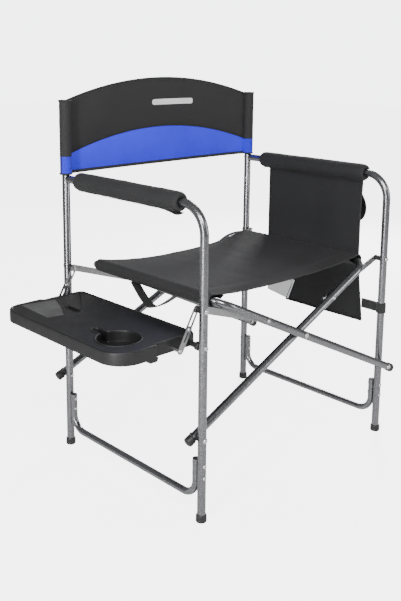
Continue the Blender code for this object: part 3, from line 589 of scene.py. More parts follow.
# ---- side table ----
TABLE_X, TABLE_Y, TABLE_Z = (-0.5280, -0.3100), 0.212, (0.3870, 0.4160)
RECESS_X, RECESS_Y = -0.420, 0.2045
CUP_CENTRE, CUP_R, WELL_FLOOR = (-0.4540, -0.1230), 0.046, 0.0030
NOTCH_TIP, NOTCH_HALF = (-0.4565, -0.0500), 0.0085
SLOT_ENDS, SLOT_R = ((-0.4110, 0.0800), (-0.4110, 0.1240)), 0.0060
TABLE_EDGE = 0.0022


def table_outline(inset=0.0):
    outer, inner = TABLE_X[0] + inset, TABLE_X[1] - inset
    front_r, back_r, deep, side = 0.058 - inset, 0.040 - inset, TABLE_Y - inset, RECESS_Y - inset
    points = arc((outer + front_r, -deep + front_r), front_r, 180, 270, 20)
    points += [(RECESS_X - 0.006 - inset, -deep), (RECESS_X - inset, -side)]
    points += arc((inner - 0.012, -side + 0.012), 0.012, 270, 360, 8)
    points += arc((inner - 0.012, side - 0.012), 0.012, 0, 90, 8)
    points += [(RECESS_X - inset, side), (RECESS_X - 0.006 - inset, deep)]
    points += arc((outer + back_r, deep - back_r), back_r, 90, 180, 16)
    return points


def cup_outline(grow=0.0):
    """The cup well with its notch towards the back, as one outline."""
    radius = CUP_R + grow
    tip = Vector(NOTCH_TIP)
    way = (tip - Vector(CUP_CENTRE)).normalized()
    half = NOTCH_HALF + grow
    spread = math.degrees(math.asin(half / radius))
    middle = math.degrees(math.atan2(way.y, way.x))
    points = arc(CUP_CENTRE, radius, middle + spread, middle + 360 - spread, 56)
    points += arc(tip, half, middle - 90, middle + 90, 10)
    return points


def cut(bm, cutters):
    """Cuts closed shapes out of bm and returns the result."""
    objects = []
    for shape in (bm, *cutters):
        bmesh.ops.recalc_face_normals(shape, faces=shape.faces)
        mesh = bpy.data.meshes.new("cut")
        shape.to_mesh(mesh)
        shape.free()
        obj = bpy.data.objects.new("cut", mesh)
        bpy.context.scene.collection.objects.link(obj)
        objects.append(obj)
    for other in objects[1:]:
        change = objects[0].modifiers.new("hole", "BOOLEAN")
        change.operation = "DIFFERENCE"
        change.solver = "EXACT"
        change.object = other
    bake(objects[0])
    result = bmesh.new()
    result.from_mesh(objects[0].data)
    for obj in objects:
        bpy.data.objects.remove(obj)
    return result


def bead_into(bm, outline, z, radius, rise):
    """Adds a closed raised bead along an outline."""
    count, made = len(outline), []
    for i, point in enumerate(outline):
        before, after = Vector(outline[i - 1]), Vector(outline[(i + 1) % count])
        along = (after - before).normalized()
        out = Vector((along.y, -along.x))
        corners = [(*(Vector(point) + out * (radius * c)), z + rise * s) for c, s in circle(8)]
        made.append([bm.verts.new(corner) for corner in corners])
    for first, second in zip(made, made[1:] + made[:1]):
        skin(bm, first, second)
    return bm


def side_table():
    top, bottom = TABLE_Z[1], TABLE_Z[0]
    slab = prism(table_outline(), "z", bottom, top - TABLE_EDGE)
    cup = prism(cup_outline(), "z", bottom + WELL_FLOOR, top + 0.01)
    slot = prism(stadium(*SLOT_ENDS, SLOT_R, 8), "z", bottom - 0.01, top + 0.01)
    shell = cut(slab, [cup, slot])
    piece("side_table_body", shell, TABLE_PLASTIC, "table", ["table_top"], 35, 0.0024)
    rims = bead_into(bmesh.new(), table_outline(0.0034), top - 0.0026, 0.0032, 0.0026)
    bead_into(rims, cup_outline(0.0032), top - 0.0026, 0.0028, 0.0022)
    bead_into(rims, stadium(*SLOT_ENDS, SLOT_R + 0.0022, 8), top - 0.0024, 0.0018, 0.0012)
    bead_into(rims, table_outline(0.0030), bottom + 0.0026, 0.0030, 0.0026)
    piece("side_table_rims", rims, TABLE_PLASTIC, "table", (), 60)
    ribs = bmesh.new()
    boss = [(0, 0.013), (0.0006, 0.013), (0.0012, 0.011), (0.0012, 0)]
    for y in (-0.040, 0.020, 0.150):
        turned_into(ribs, (-0.372, y, bottom + 0.0008), (0, 0, -1), boss, 24)
    for x, y in ((-0.4590, -0.0360), (-0.4000, 0.0690)):
        dome_into(ribs, (x, y, top - 0.0026), (0, 0, 1), 0.0022, 0.0012)
    piece("side_table_bosses", ribs, TABLE_PLASTIC, "table")
    corners = [(-0.4900, 0.0860), (-0.4520, 0.0780), (-0.4240, 0.1300), (-0.4010, 0.1870), (-0.4850, 0.2030)]
    patch = prism(corners, "z", top - 0.0030, top - 0.0019)
    grey = moulded("table_panel", 0.085, 0.42, 900)
    piece("side_table_plain_panel", patch, grey, "table", (), 40, 0.0)
    root, tip = bottom + 0.001, bottom - 0.0085
    hook = prism([(-0.4480, root), (-0.4180, root), (-0.4215, tip), (-0.4405, tip)], "y", -0.2090, -0.1950)
    piece("side_table_hook", hook, TABLE_PLASTIC, "table", ["table_stop_tab"], 35, 0.0015)
    rivet_x, rivet_z = TABLE_RIVET
    bosses = bmesh.new()
    boss = [(0, 0), (0, 0.0085), (0.0012, 0.0092), (0.0100, 0.0092), (0.0112, 0.0085), (0.0112, 0.0062),
            (0.0270, 0.0058), (0.0270, 0)]
    for place, way, planes in (("front", -1, FRONT_LOWER), ("back", 1, BACK_LOWER)):
        length = planes[0] - RECESS_Y + 0.0078
        shank = [(0, 0), (0, 0.0042), (length, 0.0042), (length, 0)]
        head = turned((rivet_x, way * (RECESS_Y - 0.008), rivet_z), (0, way, 0), shank, 18)
        dome_into(head, (rivet_x, way * (planes[1] + 0.0001), rivet_z), (0, way, 0), 0.0046, 0.0023)
        piece(f"{place}_brace_pin", head, ZINC, "table", [f"{place}_brace_rivet"])
        outside = (LEFT, way * (HALF_DEPTH + TUBE_R - 0.0002), TABLE_HINGE_Z)
        hinge = dome_into(bmesh.new(), outside, (0, way, 0), 0.0054, 0.0030)
        shank = [(LEFT, way * y, TABLE_HINGE_Z) for y in (HALF_DEPTH + TUBE_R, RECESS_Y - 0.01)]
        tube_into(hinge, shank, 0.0028, 16)
        piece(f"table_{place}_hinge_pin", hinge, ZINC, "left_frame", [f"table_{place}_hinge_bolt"])
        inside = (LEFT, way * (HALF_DEPTH - TUBE_R + 0.0006), TABLE_HINGE_Z)
        turned_into(bosses, inside, (0, -way, 0), boss, 24)
    piece("table_hinge_bosses", bosses, BLACK_PLASTIC, "left_frame")


side_frame("left")
side_frame("right")
for side, lean, owner in (("left", 1, "left_frame"), ("right", -1, "right_frame")):
    lower_pivots(side, lean, owner)
    side_links(side)
cross_frame("a", -1)
cross_frame("b", 1)
crossing_pivots()
braces()
side_table()


# ---- fabric ----
SLEEVE_R, PAD_R = 0.0145, 0.0225
EDGE = HALF_WIDTH - 0.0035
POCKET_OUT = 0.0500
THREAD_R = 0.00032
PAD_DEPTH, PAD_CROWN = 0.0030, 0.0042
PRESSURE, BACK_CAP, ARM_CAP = 3.0, 0.0035, 0.0016
ORGANIZER_LOW = 0.2935


def wrinkle(x, y, z, scale, seed=0.0):
    """Smooth noise from -1 to 1; scale is a size in metres, or one for each axis."""
    sx, sy, sz = scale if hasattr(scale, "__len__") else (scale,) * 3
    return noise.noise(Vector((x / sx + seed, y / sy + seed * 1.7, z / sz - seed)))


def closed_grids(front, back):
    """A closed mesh of two grids of points, joined along their edges."""
    bm = bmesh.new()
    front, back = [[[bm.verts.new(p) for p in row] for row in grid] for grid in (front, back)]
    for grid in (front, back):
        for first, second in zip(grid, grid[1:]):
            skin(bm, first, second, False)
    for j in range(len(front) - 1):
        for i in (0, -1):
            bm.faces.new((front[j][i], front[j + 1][i], back[j + 1][i], back[j][i]))
    for j in (0, -1):
        skin(bm, front[j], back[j], False)
    return bm


def sheet_mesh(rows, thickness, flip=False):
    """A closed thin sheet through a grid of points; thickness goes against the surface's normal."""
    count, wide = len(rows), len(rows[0])
    way = -1 if flip else 1
    back = []
    for j in range(count):
        line = []
        for i in range(wide):
            along = rows[j][min(i + 1, wide - 1)] - rows[j][max(i - 1, 0)]
            down = rows[min(j + 1, count - 1)][i] - rows[max(j - 1, 0)][i]
            line.append(rows[j][i] - along.cross(down).normalized() * way * thickness)
        back.append(line)
    return closed_grids(rows, back)


def grid(deep, wide, point):
    """Rows of points; point gets how far each is down and across, from 0 to 1."""
    return [[Vector(point(j / deep, i / wide)) for i in range(wide + 1)] for j in range(deep + 1)]


def stitches(name, path, body, colour_look, out=(0, -1, 0), dash=0.0032, space=0.0014, blend=None):
    """A row of thread stitches along a path."""
    path = [Vector(p) for p in path]
    out = Vector(out).normalized()
    bm = bmesh.new()
    for a, b in zip(path, path[1:]):
        length = (b - a).length
        position = 0.0
        while position < length - dash:
            p, q = a + (b - a) * position / length, a + (b - a) * (position + dash) / length
            middle = (p + q) / 2 + out * 0.0005
            rise, fall = [end.lerp(middle, 0.6) + out * 0.0002 for end in (p, q)]
            tube_into(bm, [p - out * 0.0003, rise, middle, fall, q - out * 0.0003], THREAD_R, 5)
            position += dash + space
    return piece(name, bm, colour_look, body, blend=blend)


def arch(x):
    """The top edge of the backrest."""
    return 0.929 - 0.50 * x * x


def seam(x):
    """The line between the backrest's black and blue pads."""
    return 0.802 - 0.54 * x * x


def panel_back(x):
    """The middle plane of the backrest's panel."""
    return 0.2510 + 0.0088 * (1 - (x / EDGE) ** 2) ** 0.7


def quilted(low, high, seed):
    """A padded panel between two curves: thin at its seams, crowned between them."""
    across, up = 84, 26
    front, back = [], []
    for j in range(up + 1):
        v = j / up
        near, far = [], []
        for i in range(across + 1):
            x = -EDGE + 2 * EDGE * i / across
            bottom, top = low(x), high(x)
            z = bottom + (top - bottom) * v
            rim = min(z - bottom, top - z, (EDGE - abs(x)) * 1.2)
            full = 1 - math.exp(-max(rim, 0) / 0.011)
            pull = wrinkle(x, 0, z, (0.050, 1, 0.016), seed) * 0.0011 * math.exp(-(EDGE - abs(x)) / 0.07)
            soft = wrinkle(x, 0, z, (0.110, 1, 0.060), seed + 5) * 0.0008 * full
            y = panel_back(x)
            near.append(Vector((x, y - PAD_DEPTH * 0.5 - PAD_CROWN * full + pull + soft, z)))
            far.append(Vector((x, y + PAD_DEPTH * 0.5 + PAD_CROWN * 0.55 * full + soft, z)))
        front.append(near)
        back.append(far)
    return closed_grids(front, back)


def puffed(obj, cap, held, frames=20):
    """Rounds a closed pad by air pressure in a short cloth simulation; no point moves more than cap."""
    finer = obj.modifiers.new("finer", "SUBSURF")
    finer.levels = 1
    finer.render_levels = 1
    bake(obj)
    start = [v.co.copy() for v in obj.data.vertices]
    seams = obj.vertex_groups.new(name="seams")
    seams.add([i for i, p in enumerate(start) if held(p - Vector((SHIFT, 0, 0)))], 1.0, "REPLACE")
    cloth = obj.modifiers.new("cloth", "CLOTH")
    settings = cloth.settings
    settings.vertex_group_mass = "seams"
    settings.use_pressure = True
    settings.uniform_pressure_force = PRESSURE
    settings.effector_weights.gravity = 0
    settings.quality = 5
    settings.tension_stiffness = 8
    settings.compression_stiffness = 8
    cloth.point_cache.frame_end = frames
    for step in range(1, frames + 1):
        bpy.context.scene.frame_set(step)
    bake(obj)
    bpy.context.scene.frame_set(1)
    for vertex, before in zip(obj.data.vertices, start):
        moved = vertex.co - before
        if moved.length > cap:
            vertex.co = before + moved * (cap / moved.length)
    obj.vertex_groups.clear()
    obj.data.shade_smooth()
    return obj


def post_sleeve(x, low, high, open_below):
    """One colour of a backrest sleeve round a post, flatter at the back; open_below lets the post in."""
    sides, steps = 32, 16
    bm = bmesh.new()
    made = []
    for j in range(steps + 1):
        z = low + (high - low) * j / steps
        ring = []
        for c, s in circle(sides):
            flat = 1 - 0.10 * max(0.0, s) ** 2
            crease = 1 + 0.030 * wrinkle(c, s, z, (1.2, 1.2, 0.025), 2.0 + x)
            radius = SLEEVE_R * flat * crease
            ring.append(bm.verts.new((x + radius * c, HALF_DEPTH + radius * s, z)))
        made.append(ring)
    for a, b in zip(made, made[1:]):
        skin(bm, a, b)
    inner = TUBE_R + 0.0006
    for ring, z in ((made[0], low), (made[-1], high)):
        lip = [bm.verts.new((x + inner * c, HALF_DEPTH + inner * s, z)) for c, s in circle(sides)]
        skin(bm, ring, lip)
        if open_below and z == low:
            deep = [bm.verts.new((v.co.x, v.co.y, z + 0.012)) for v in lip]
            skin(bm, lip, deep)
            lip = deep
        bm.faces.new(lip)
    return bm


def backrest():
    upper_cloth = woven("backrest_black_cloth", (0.019, 0.018, 0.019), ("x", "z"), 0.0007, 0.80, 0.05)
    lower_cloth = woven("backrest_blue_cloth", BLUE, ("x", "z"), 0.0007, 0.78, 0.0)
    side_blue = woven("sleeve_blue_cloth", (0.012, 0.012, 0.72), ("x", "z"), 0.0007, 0.80, 0.10)
    thread = woven("thread", (0.03, 0.03, 0.03), ("x", "z"), 0.0004, 0.6, 0.0)

    def hem(x):
        return BACKREST_BOTTOM

    shape = quilted(seam, arch, 3.0)
    panel = piece("backrest_black_pad", shape, upper_cloth, "left_frame", ["backrest_panel"], 60)
    shape = quilted(hem, seam, 9.0)
    band = piece("backrest_blue_pad", shape, lower_cloth, "left_frame", ["backrest_band"], 60)
    for pad, low, high, below, above in ((panel, seam, arch, 0.003, 0.004), (band, hem, seam, 0.004, 0.003)):
        puffed(pad, BACK_CAP, lambda p: (
            p.z > high(p.x) - above or p.z < low(p.x) + below or abs(p.x) > EDGE - 0.010))
    shown = [panel, band]

    def run(curve, dy=0.0, dz=0.0, reach=EDGE, count=60):
        """Points along a curve of the backrest, on its panel."""
        places = [-reach + 2 * reach * i / count for i in range(count + 1)]
        return [(x, panel_back(x) + dy, curve(x) + dz) for x in places]

    edges = bmesh.new()
    tube_into(edges, run(arch), 0.0030, 10)
    # The bottom binding is drawn thicker than the binding alone: its black also covers the dark band of shade
    # along the backrest's hem, as painted shade.
    tube_into(edges, run(hem, dz=0.0028), 0.0050, 12)
    shown.append(piece("backrest_piping_and_painted_shade", edges, PIPING, "left_frame"))
    joint = tube_into(bmesh.new(), run(seam, -0.0018), 0.0014, 8)
    shown.append(piece("backrest_seam", joint, PIPING, "left_frame"))
    for name, curve, dy, dz in (("top", arch, -0.0046, -0.0065), ("seam", seam, -0.0040, 0.0045)):
        shown.append(stitches(f"backrest_{name}_stitches", run(curve, dy, dz), "left_frame", thread))

    def mark(v, u):
        x = 0.035 + 0.150 * (u - 0.5)
        half = 0.0075 * min(1.0, (1 - abs(u - 0.5) * 2) * 12) ** 0.5
        return x, panel_back(x) - 0.0064, 0.8665 - 0.10 * x * x + half * (2 * v - 1)

    label = woven("printed_mark", (0.80, 0.80, 0.80), ("x", "z"), 0.0007, 0.7, 0.0)
    bar = sheet_mesh(grid(6, 36, mark), 0.0012, True)
    shown.append(piece("backrest_plain_mark", bar, label, "left_frame"))
    for obj in shown:
        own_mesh(obj)

    for side, x, owner in (("left", LEFT, "left_frame"), ("right", RIGHT, "right_frame")):
        turn = seam(HALF_WIDTH - 0.006)
        for part, low, high, look in (("blue", BACKREST_BOTTOM - 0.001, turn, side_blue),
                                      ("black", turn, BACKREST_SIDE_TOP, upper_cloth)):
            bm = post_sleeve(x, low, high, part == "blue")
            piece(f"{side}_{part}_post_sleeve", bm, look, owner, [f"{side}_backrest_sleeve"], 50)
        trim = bmesh.new()
        for z, radius in ((BACKREST_SIDE_TOP - 0.0012, SLEEVE_R - 0.0002),
                          (BACKREST_BOTTOM + 0.0006, SLEEVE_R - 0.0004)):
            ring = [(x + radius * c, HALF_DEPTH + radius * s) for c, s in circle(28)]
            bead_into(trim, ring, z, 0.0022, 0.0022)
        out = SLEEVE_R * 0.97 if side == "right" else -SLEEVE_R * 0.97
        edge = [(x + out, HALF_DEPTH - 0.002, z) for z in (BACKREST_BOTTOM, BACKREST_SIDE_TOP)]
        tube_into(trim, edge, 0.0016, 8)
        piece(f"{side}_sleeve_piping", trim, PIPING, owner)


# ---- seat ----
def seat_section(y, outer=0.0131):
    """The seat cloth's line across the chair at one depth: round one rail, over the sag, round the other."""
    share = min(max((y + 0.205) / 0.40, 0.0), 1.0)
    sag = 0.0165 + 0.0045 * share
    top = RAIL_Z + outer
    points = []
    hem = 0.030
    angle_start, angle_end = -75, -272
    for i in range(15):
        angle = math.radians(angle_start + (angle_end - angle_start) * i / 14)
        points.append((-RAIL_X + outer * math.cos(angle), RAIL_Z + outer * math.sin(angle)))
    edge = RAIL_X - 0.001
    count = 56
    for i in range(1, count):
        x = -edge + 2 * edge * i / count
        t = abs(x) / edge
        bend = 1 - t ** 2.6
        z = top - 0.0004 - sag * bend
        front = y + 0.175
        ridge = 0.0060 * math.exp(-(front / 0.016) ** 2) * (t ** 2) * (1 - t) * 4
        valley = -0.0050 * math.exp(-((front - 0.030) / 0.020) ** 2) * (t ** 3) * (1 - t) * 5
        pulled = wrinkle(x, y, 0, (0.035, 0.140, 1), 1.0) * 0.0012 * (0.35 + t)
        fine = wrinkle(x, y, 0, (0.016, 0.06, 1), 4.0) * 0.0005 * t
        points.append((x, z + ridge + valley + (pulled + fine) * (1 - t) * 2))
    points += [(-x, z) for x, z in reversed(points[:15])]
    under = []
    for i in range(4):
        x = -RAIL_X + 0.006 + hem * (1 - i / 4)
        t = abs(x) / edge
        surface = top - 0.0004 - sag * (1 - t ** 2.6)
        share_in = (x + RAIL_X - 0.006) / hem
        z = (surface - 0.0024) * share_in + (RAIL_Z - outer * 0.98) * (1 - share_in)
        under.append((x, z))
    return under + points + [(-x, z) for x, z in reversed(under)]


def seat():
    look = woven("seat_cloth", (0.018, 0.018, 0.018), ("x", "y"), 0.0008, 0.85, 0.02, 0.5)
    deep = 46
    low, high = -0.2060, 0.1920
    rows = []
    for j in range(deep + 1):
        y = low + (high - low) * j / deep
        section = seat_section(y)
        row = []
        for x, z in section:
            t = min(abs(x) / RAIL_X, 1.0)
            bow = 0.0075 * (1 - t ** 2) * (1 - (y - low) / (high - low) * 2)
            row.append(Vector((x, y + bow, z)))
        rows.append(row)
    blend = "cross_frame_a", "cross_frame_b", (-0.250 + SHIFT, 0, 0.47), (0.250 + SHIFT, 0, 0.47)
    stands_for = ["seat_sling", "seat_sleeve_left", "seat_sleeve_right"]
    obj = piece("seat_cloth_sling", sheet_mesh(rows, 0.0015, True), look, None, stands_for, 70, blend=blend)
    edges = bmesh.new()
    for row in (rows[0], rows[-1]):
        top_run = [p + Vector((0, 0, 0.0002)) for p in row[4:-4]]
        tube_into(edges, top_run, 0.0017, 8)
    piece("seat_edge_binding", edges, PIPING, None, blend=blend)
    thread = woven("seat_thread", (0.05, 0.05, 0.05), ("x", "y"), 0.0004, 0.6, 0.0)
    for name, j in (("front", 3), ("back", deep - 3)):
        line = [p + Vector((0, 0, 0.0002)) for p in rows[j][16:-16]]
        stitches(f"seat_{name}_stitches", line, None, thread, (0, 0, 1), 0.0040, 0.0016, blend)
    for side, index in (("left", 25), ("right", len(rows[0]) - 26)):
        line = [rows[j][index] + Vector((0, 0, 0.0002)) for j in range(2, deep - 1)]
        stitches(f"seat_{side}_sleeve_stitches", line, None, thread, (0, 0, 1), 0.0040, 0.0016, blend)


def carry_handle():
    top, half_width, low = RAIL_Z - SLEEVE_R + 0.0006, 0.0120, 0.4120
    rows = []
    count = 36
    for i in range(count + 1):
        t = i / count
        y = 0.0570 - 0.1510 * t
        away = abs(t - 0.42) / (0.42 if t < 0.42 else 0.58)
        drop = (top - low) * (1 - away ** 1.45)
        row = []
        for k in range(9):
            across = k / 8 * 2 - 1
            lift = 0.0010 * across * across
            ripple = wrinkle(across, y, 0, 0.05, 8) * 0.0006
            row.append(Vector((-RAIL_X + half_width * across, y, top - drop + lift + ripple)))
        rows.append(row)
    webbing = sheet_mesh(rows, 0.0016)
    obj = piece("carry_handle_webbing", webbing, WEBBING, "cross_frame_a", ["carry_handle"], 60)


# ---- arm pads ----
def padded_sleeve(name, x, low, high, look, owner, stands_for, seam_deg, seed):
    """A padded sleeve round an arm tube with its closing edge at seam_deg and rounded ends."""
    sides, steps = 48, 60
    bm = bmesh.new()
    made = []
    for j in range(steps + 1):
        y = low + (high - low) * j / steps
        from_end = min(y - low, high - y)
        round_off = 1 - 0.20 * math.exp(-from_end / 0.0035)
        ring = []
        for k in range(sides):
            degrees = 360 * k / sides
            angle = math.radians(degrees)
            past = (degrees - seam_deg) % 360
            step = 0.0016 * math.exp(-past / 14) - 0.0008 * math.exp(-(360 - past) / 10)
            across, up = math.cos(angle) * 0.02, math.sin(angle) * 0.02
            fold = wrinkle(across, y, up, (0.020, 0.034, 0.020), seed) * 0.0009
            r = min(PAD_R * round_off + step + fold - 0.0006, PAD_R + 0.0022)
            ring.append(bm.verts.new((x + r * math.cos(angle), y, ARM_Z + r * math.sin(angle))))
        made.append(ring)
    for a, b in zip(made, made[1:]):
        skin(bm, a, b)
    bore = TUBE_R + 0.0008
    for ring, y, inward in ((made[0], low, 1), (made[-1], high, -1)):
        for radius, place in ((bore * 1.25, y - inward * 0.0004), (bore, y + inward * 0.006)):
            inner = [bm.verts.new((x + radius * c, place, ARM_Z + radius * s)) for c, s in circle(sides)]
            skin(bm, ring, inner)
            ring = inner
        bm.faces.new(ring)
    obj = piece(name, bm, look, owner, [stands_for], 60)
    puffed(obj, ARM_CAP, lambda p: (
        min(p.y - low, high - p.y) < 0.004 or math.hypot(p.x - x, p.z - ARM_Z) < TUBE_R + 0.005))
    return obj


def arm_pads():
    left_look = woven("arm_pad_cloth", BLACK, ("round_y", LEFT, ARM_Z, PAD_R), 0.0008, 0.80, 0.04, 0.4)
    right_round = "round_y", RIGHT, ARM_Z, PAD_R
    right_look = woven("organizer_sleeve_cloth", (0.014, 0.014, 0.015), right_round, 0.0008, 0.80, 0.03, 0.4)
    padded_sleeve("left_arm_padded_sleeve", LEFT, -0.1740, 0.1900, left_look, "left_frame",
                  "left_arm_pad", 250, 1.0)
    padded_sleeve("organizer_arm_sleeve", RIGHT, -0.1780, 0.1810, right_look, "right_frame",
                  "organizer_sleeve", 262, 7.0)

    def corner(u, v):
        angle = math.radians(-78 - 50 * v * (1 - 0.75 * u))
        r = PAD_R + 0.0008 + 0.0070 * v * (1 - u) ** 2
        return LEFT + r * math.cos(angle), -0.1755 + 0.060 * u + 0.004 * v, ARM_Z + r * math.sin(angle)

    piece("left_arm_flap_corner", sheet_mesh(grid(8, 6, corner), 0.0012), left_look, "left_frame")
    thread = woven("pad_thread", (0.05, 0.05, 0.05), ("y", "z"), 0.0004, 0.6, 0.0)
    for name, x, owner, low, high, degrees in (("left", LEFT, "left_frame", -0.168, 0.184, 246),
                                               ("right", RIGHT, "right_frame", -0.172, 0.175, 258)):
        angle = math.radians(degrees)
        out = Vector((math.cos(angle), 0, math.sin(angle)))
        start = Vector((x, low, ARM_Z)) + out * (PAD_R + 0.0004)
        line = [start + Vector((0, (high - low) * i / 12, 0)) for i in range(13)]
        stitches(f"{name}_arm_stitches", line, owner, thread, out, 0.0036, 0.0016)


# ---- organizer ----
def organizer():
    look = woven("organizer_cloth", (0.013, 0.013, 0.014), ("y", "z"), 0.0008, 0.82, 0.03, 0.4)
    owner = "right_frame"
    half = 0.0014
    top = ARM_Z - PAD_R + 0.0030

    def front_edge(z):
        if z > 0.58:
            return -0.1680 + 0.0040 * (top - z) / (top - 0.58)
        if z > 0.45:
            return -0.1640
        return -0.1640 - 0.0180 * (0.45 - z) / 0.155

    def back_edge(z):
        if z > 0.4400:
            return 0.1500
        if z > 0.3480:
            return 0.1500 - 0.0960 * (0.4400 - z) / 0.0920
        return 0.0540 + 0.0240 * (0.3480 - z) / 0.0560

    rows = []
    deep, drop = 52, top - ORGANIZER_LOW
    for j in range(deep + 1):
        z = top - drop * j / deep
        low, high = front_edge(z), back_edge(z)
        row = []
        for i in range(37):
            y = low + (high - low) * i / 36
            hang = (top - z) / (top - 0.29)
            large, small = wrinkle(0, y, z, (1, 0.085, 0.22), 3.0), wrinkle(0, y, z, (1, 0.03, 0.10), 6.0)
            wave = (large * 0.0034 + small * 0.0010) * hang
            row.append(Vector((RIGHT + wave * 0.55, y, z)))
        rows.append(row)
    panel = piece("organizer_hanging_panel", sheet_mesh(rows, 2 * half), look, owner, ["organizer_panel"], 70)
    trim = bmesh.new()
    for line in ([r[0] for r in rows], [r[-1] for r in rows], rows[-1]):
        tube_into(trim, [p - Vector((half, 0, 0)) for p in line], 0.0021, 8)
    piece("organizer_trim", trim, PIPING, owner)

    near = RIGHT + half + 0.0012
    low, high, bottom, mouth = -0.1450, 0.1280, 0.4000, 0.5500

    def pocket(v, u):
        y, z = low + (high - low) * u, bottom + (mouth - bottom) * v
        bulge = min(1.0, min(u, 1 - u) * 9) ** 0.6 * min(1.0, (z - bottom) / 0.012) ** 0.6
        crease = wrinkle(0, y, z, (1, 0.05, 0.05), 2.0) * 0.0010 * bulge
        return near + 0.0085 * bulge + crease, y, z

    rows = grid(18, 40, pocket)
    cloth = sheet_mesh(rows, 0.0012, True)
    obj = piece("organizer_outer_pocket", cloth, look, owner, ["organizer_pocket"], 70)
    piece("organizer_pocket_binding", tube(rows[-1], 0.0018, 8), PIPING, owner)

    out = RIGHT + POCKET_OUT
    profile = [(near - 0.001, 0.6450), (near + 0.006, 0.6435), (near + 0.013, 0.6390), (near + 0.022, 0.6300),
               (out - 0.012, 0.6150), (out - 0.004, 0.6020), (out - 0.0005, 0.5900), (out - 0.0015, 0.5780),
               (out - 0.0080, 0.5680), (out - 0.0170, 0.5620), (out - 0.0260, 0.5600)]
    flap = []
    for x, z in profile:
        row = []
        for i in range(41):
            u = i / 40
            y = -0.1500 + 0.2800 * u
            pinch = 1 - 0.10 * abs(2 * u - 1) ** 6
            crease = wrinkle(x, y, z, (0.03, 0.05, 0.03), 5.0) * 0.0010
            row.append(Vector((near + (x - near) * pinch + crease, y, z)))
        flap.append(row)
    obj = piece("organizer_bulging_flap", sheet_mesh(flap, 0.0016, True), look, owner, ["organizer_flap"], 70)
    rim = tube(flap[-1], 0.0019, 8)
    for i in (0, -1):
        tube_into(rim, [row[i] for row in flap], 0.0019, 8)
    piece("organizer_flap_binding", rim, PIPING, owner)

    inner, layer, tail = TUBE_R + 0.0004, 0.0013, -0.1820
    loop = arc((RIGHT, -HALF_DEPTH), inner + layer, 96, 444, 40)
    loop = [(RIGHT - 0.0007, tail), *loop, (RIGHT + 0.0007, tail)]
    rows = [[Vector((x, y, 0.3300 + 0.0250 * k / 6)) for k in range(7)] for x, y in loop]
    strap = piece("organizer_leg_strap", sheet_mesh(rows, layer), WEBBING, owner, ["organizer_strap"], 60)
    snap = dome_into(bmesh.new(), (RIGHT - half - 0.0022, -0.0600, 0.3270), (-1, 0, 0), 0.0042, 0.0018)
    dome_into(snap, (RIGHT + half + 0.0016, -0.0600, 0.3270), (1, 0, 0), 0.0042, 0.0018)
    piece("organizer_press_snap", snap, ZINC, owner, ["organizer_snap"])

    def tag_point(v, u):
        z_front, z_back = 0.2960 + 0.0600 * v, 0.3080 + 0.0620 * v
        y_front, y_back = 0.0690 - 0.0230 * v, 0.1480
        crease = wrinkle(0, y_front, z_front + u * 0.08, (1, 0.03, 0.03), 1) * 0.0008
        y, z = y_front + (y_back - y_front) * u, z_front + (z_back - z_front) * u
        return RIGHT - half - 0.0010 + crease, y, z

    rows = grid(8, 8, tag_point)
    label = woven("label_cloth", (0.90, 0.90, 0.91), ("y", "z"), 0.0005, 0.6, 0.1)
    tag = piece("care_label_sheet", sheet_mesh(rows, 0.0006), label, owner, ["care_label"], 60)


backrest()
seat()
carry_handle()
arm_pads()
organizer()


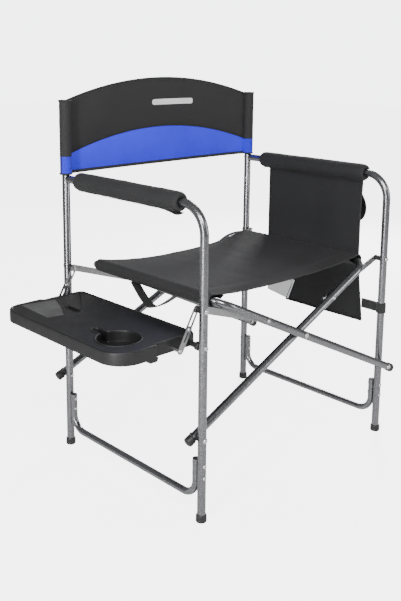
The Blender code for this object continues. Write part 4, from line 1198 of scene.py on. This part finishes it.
# ---- camera, light and floor ----
def studio():
    # The pose of the camera was fitted to the photo; lengths on the picture are in pixels.
    azimuth, elevation, roll, focal = -0.7468, 0.1803, 0.0065, 821.6
    width, height, centre_x, centre_y = 401, 601, 181.2, 200.0
    place = (-1.4633 + SHIFT, -1.4015, 1.0018)
    level = math.cos(elevation)
    back = Vector((math.sin(azimuth) * level, -math.cos(azimuth) * level, math.sin(elevation)))
    right = (-back).cross(Vector((0, 0, 1))).normalized()
    up = right.cross(-back)
    right, up = right * math.cos(roll) + up * math.sin(roll), up * math.cos(roll) - right * math.sin(roll)
    data = bpy.data.cameras.new("camera")
    data.sensor_fit = "VERTICAL"
    data.sensor_height = 36
    data.lens = focal * data.sensor_height / height
    data.shift_x = (width / 2 - centre_x) / height
    data.shift_y = (centre_y - height / 2) / height
    camera = bpy.data.objects.new("camera", data)
    turn = Matrix((right, up, back)).transposed().to_4x4()
    camera.matrix_world = Matrix.Translation(place) @ turn
    bpy.context.scene.collection.objects.link(camera)
    bpy.context.scene.camera = camera

    bm = bmesh.new()
    bmesh.ops.create_grid(bm, x_segments=2, y_segments=2, size=12)
    mesh = bpy.data.meshes.new("studio_floor")
    bm.to_mesh(mesh)
    bm.free()
    mesh.materials.append(floor_paint())
    floor = bpy.data.objects.new("studio_floor", mesh)
    floor.location = (0, 0, -0.0005)
    bpy.context.scene.collection.objects.link(floor)

    world = bpy.data.worlds.new("studio")
    bpy.context.scene.world = world
    world.use_nodes = True
    nodes, links = world.node_tree.nodes, world.node_tree.links
    nodes["Background"].inputs["Color"].default_value = (0.97, 0.98, 1.0, 1)
    seen = nodes.new("ShaderNodeLightPath").outputs["Is Camera Ray"]
    mixed = nodes.new("ShaderNodeMapRange")
    links.new(seen, mixed.inputs["Value"])
    mixed.inputs["To Min"].default_value = WORLD_LIGHT
    mixed.inputs["To Max"].default_value = WORLD_SEEN
    links.new(mixed.outputs["Result"], nodes["Background"].inputs["Strength"])

    def soft_box(name, place, aim, width, height, power):
        light = bpy.data.lights.new(name, "AREA")
        light.shape = "RECTANGLE"
        light.size = width
        light.size_y = height
        light.energy = power
        lamp = bpy.data.objects.new(name, light)
        lamp.location = place
        lamp.rotation_euler = (Vector(aim) - Vector(place)).to_track_quat("-Z", "Y").to_euler()
        bpy.context.scene.collection.objects.link(lamp)

    soft_box("key", (-1.6, -2.2, 2.6), (0, 0, 0.5), 1.2, 1.2, 75)
    soft_box("rim", (2.2, 1.2, 1.6), (0, 0, 0.5), 0.5, 2.2, 55)
    soft_box("strip", (-2.5, -0.9, 1.1), (0, 0, 0.5), 0.25, 2.4, 70)
    soft_box("fill", (1.6, -2.4, 1.2), (0, 0, 0.5), 1.2, 1.6, 20)


studio()
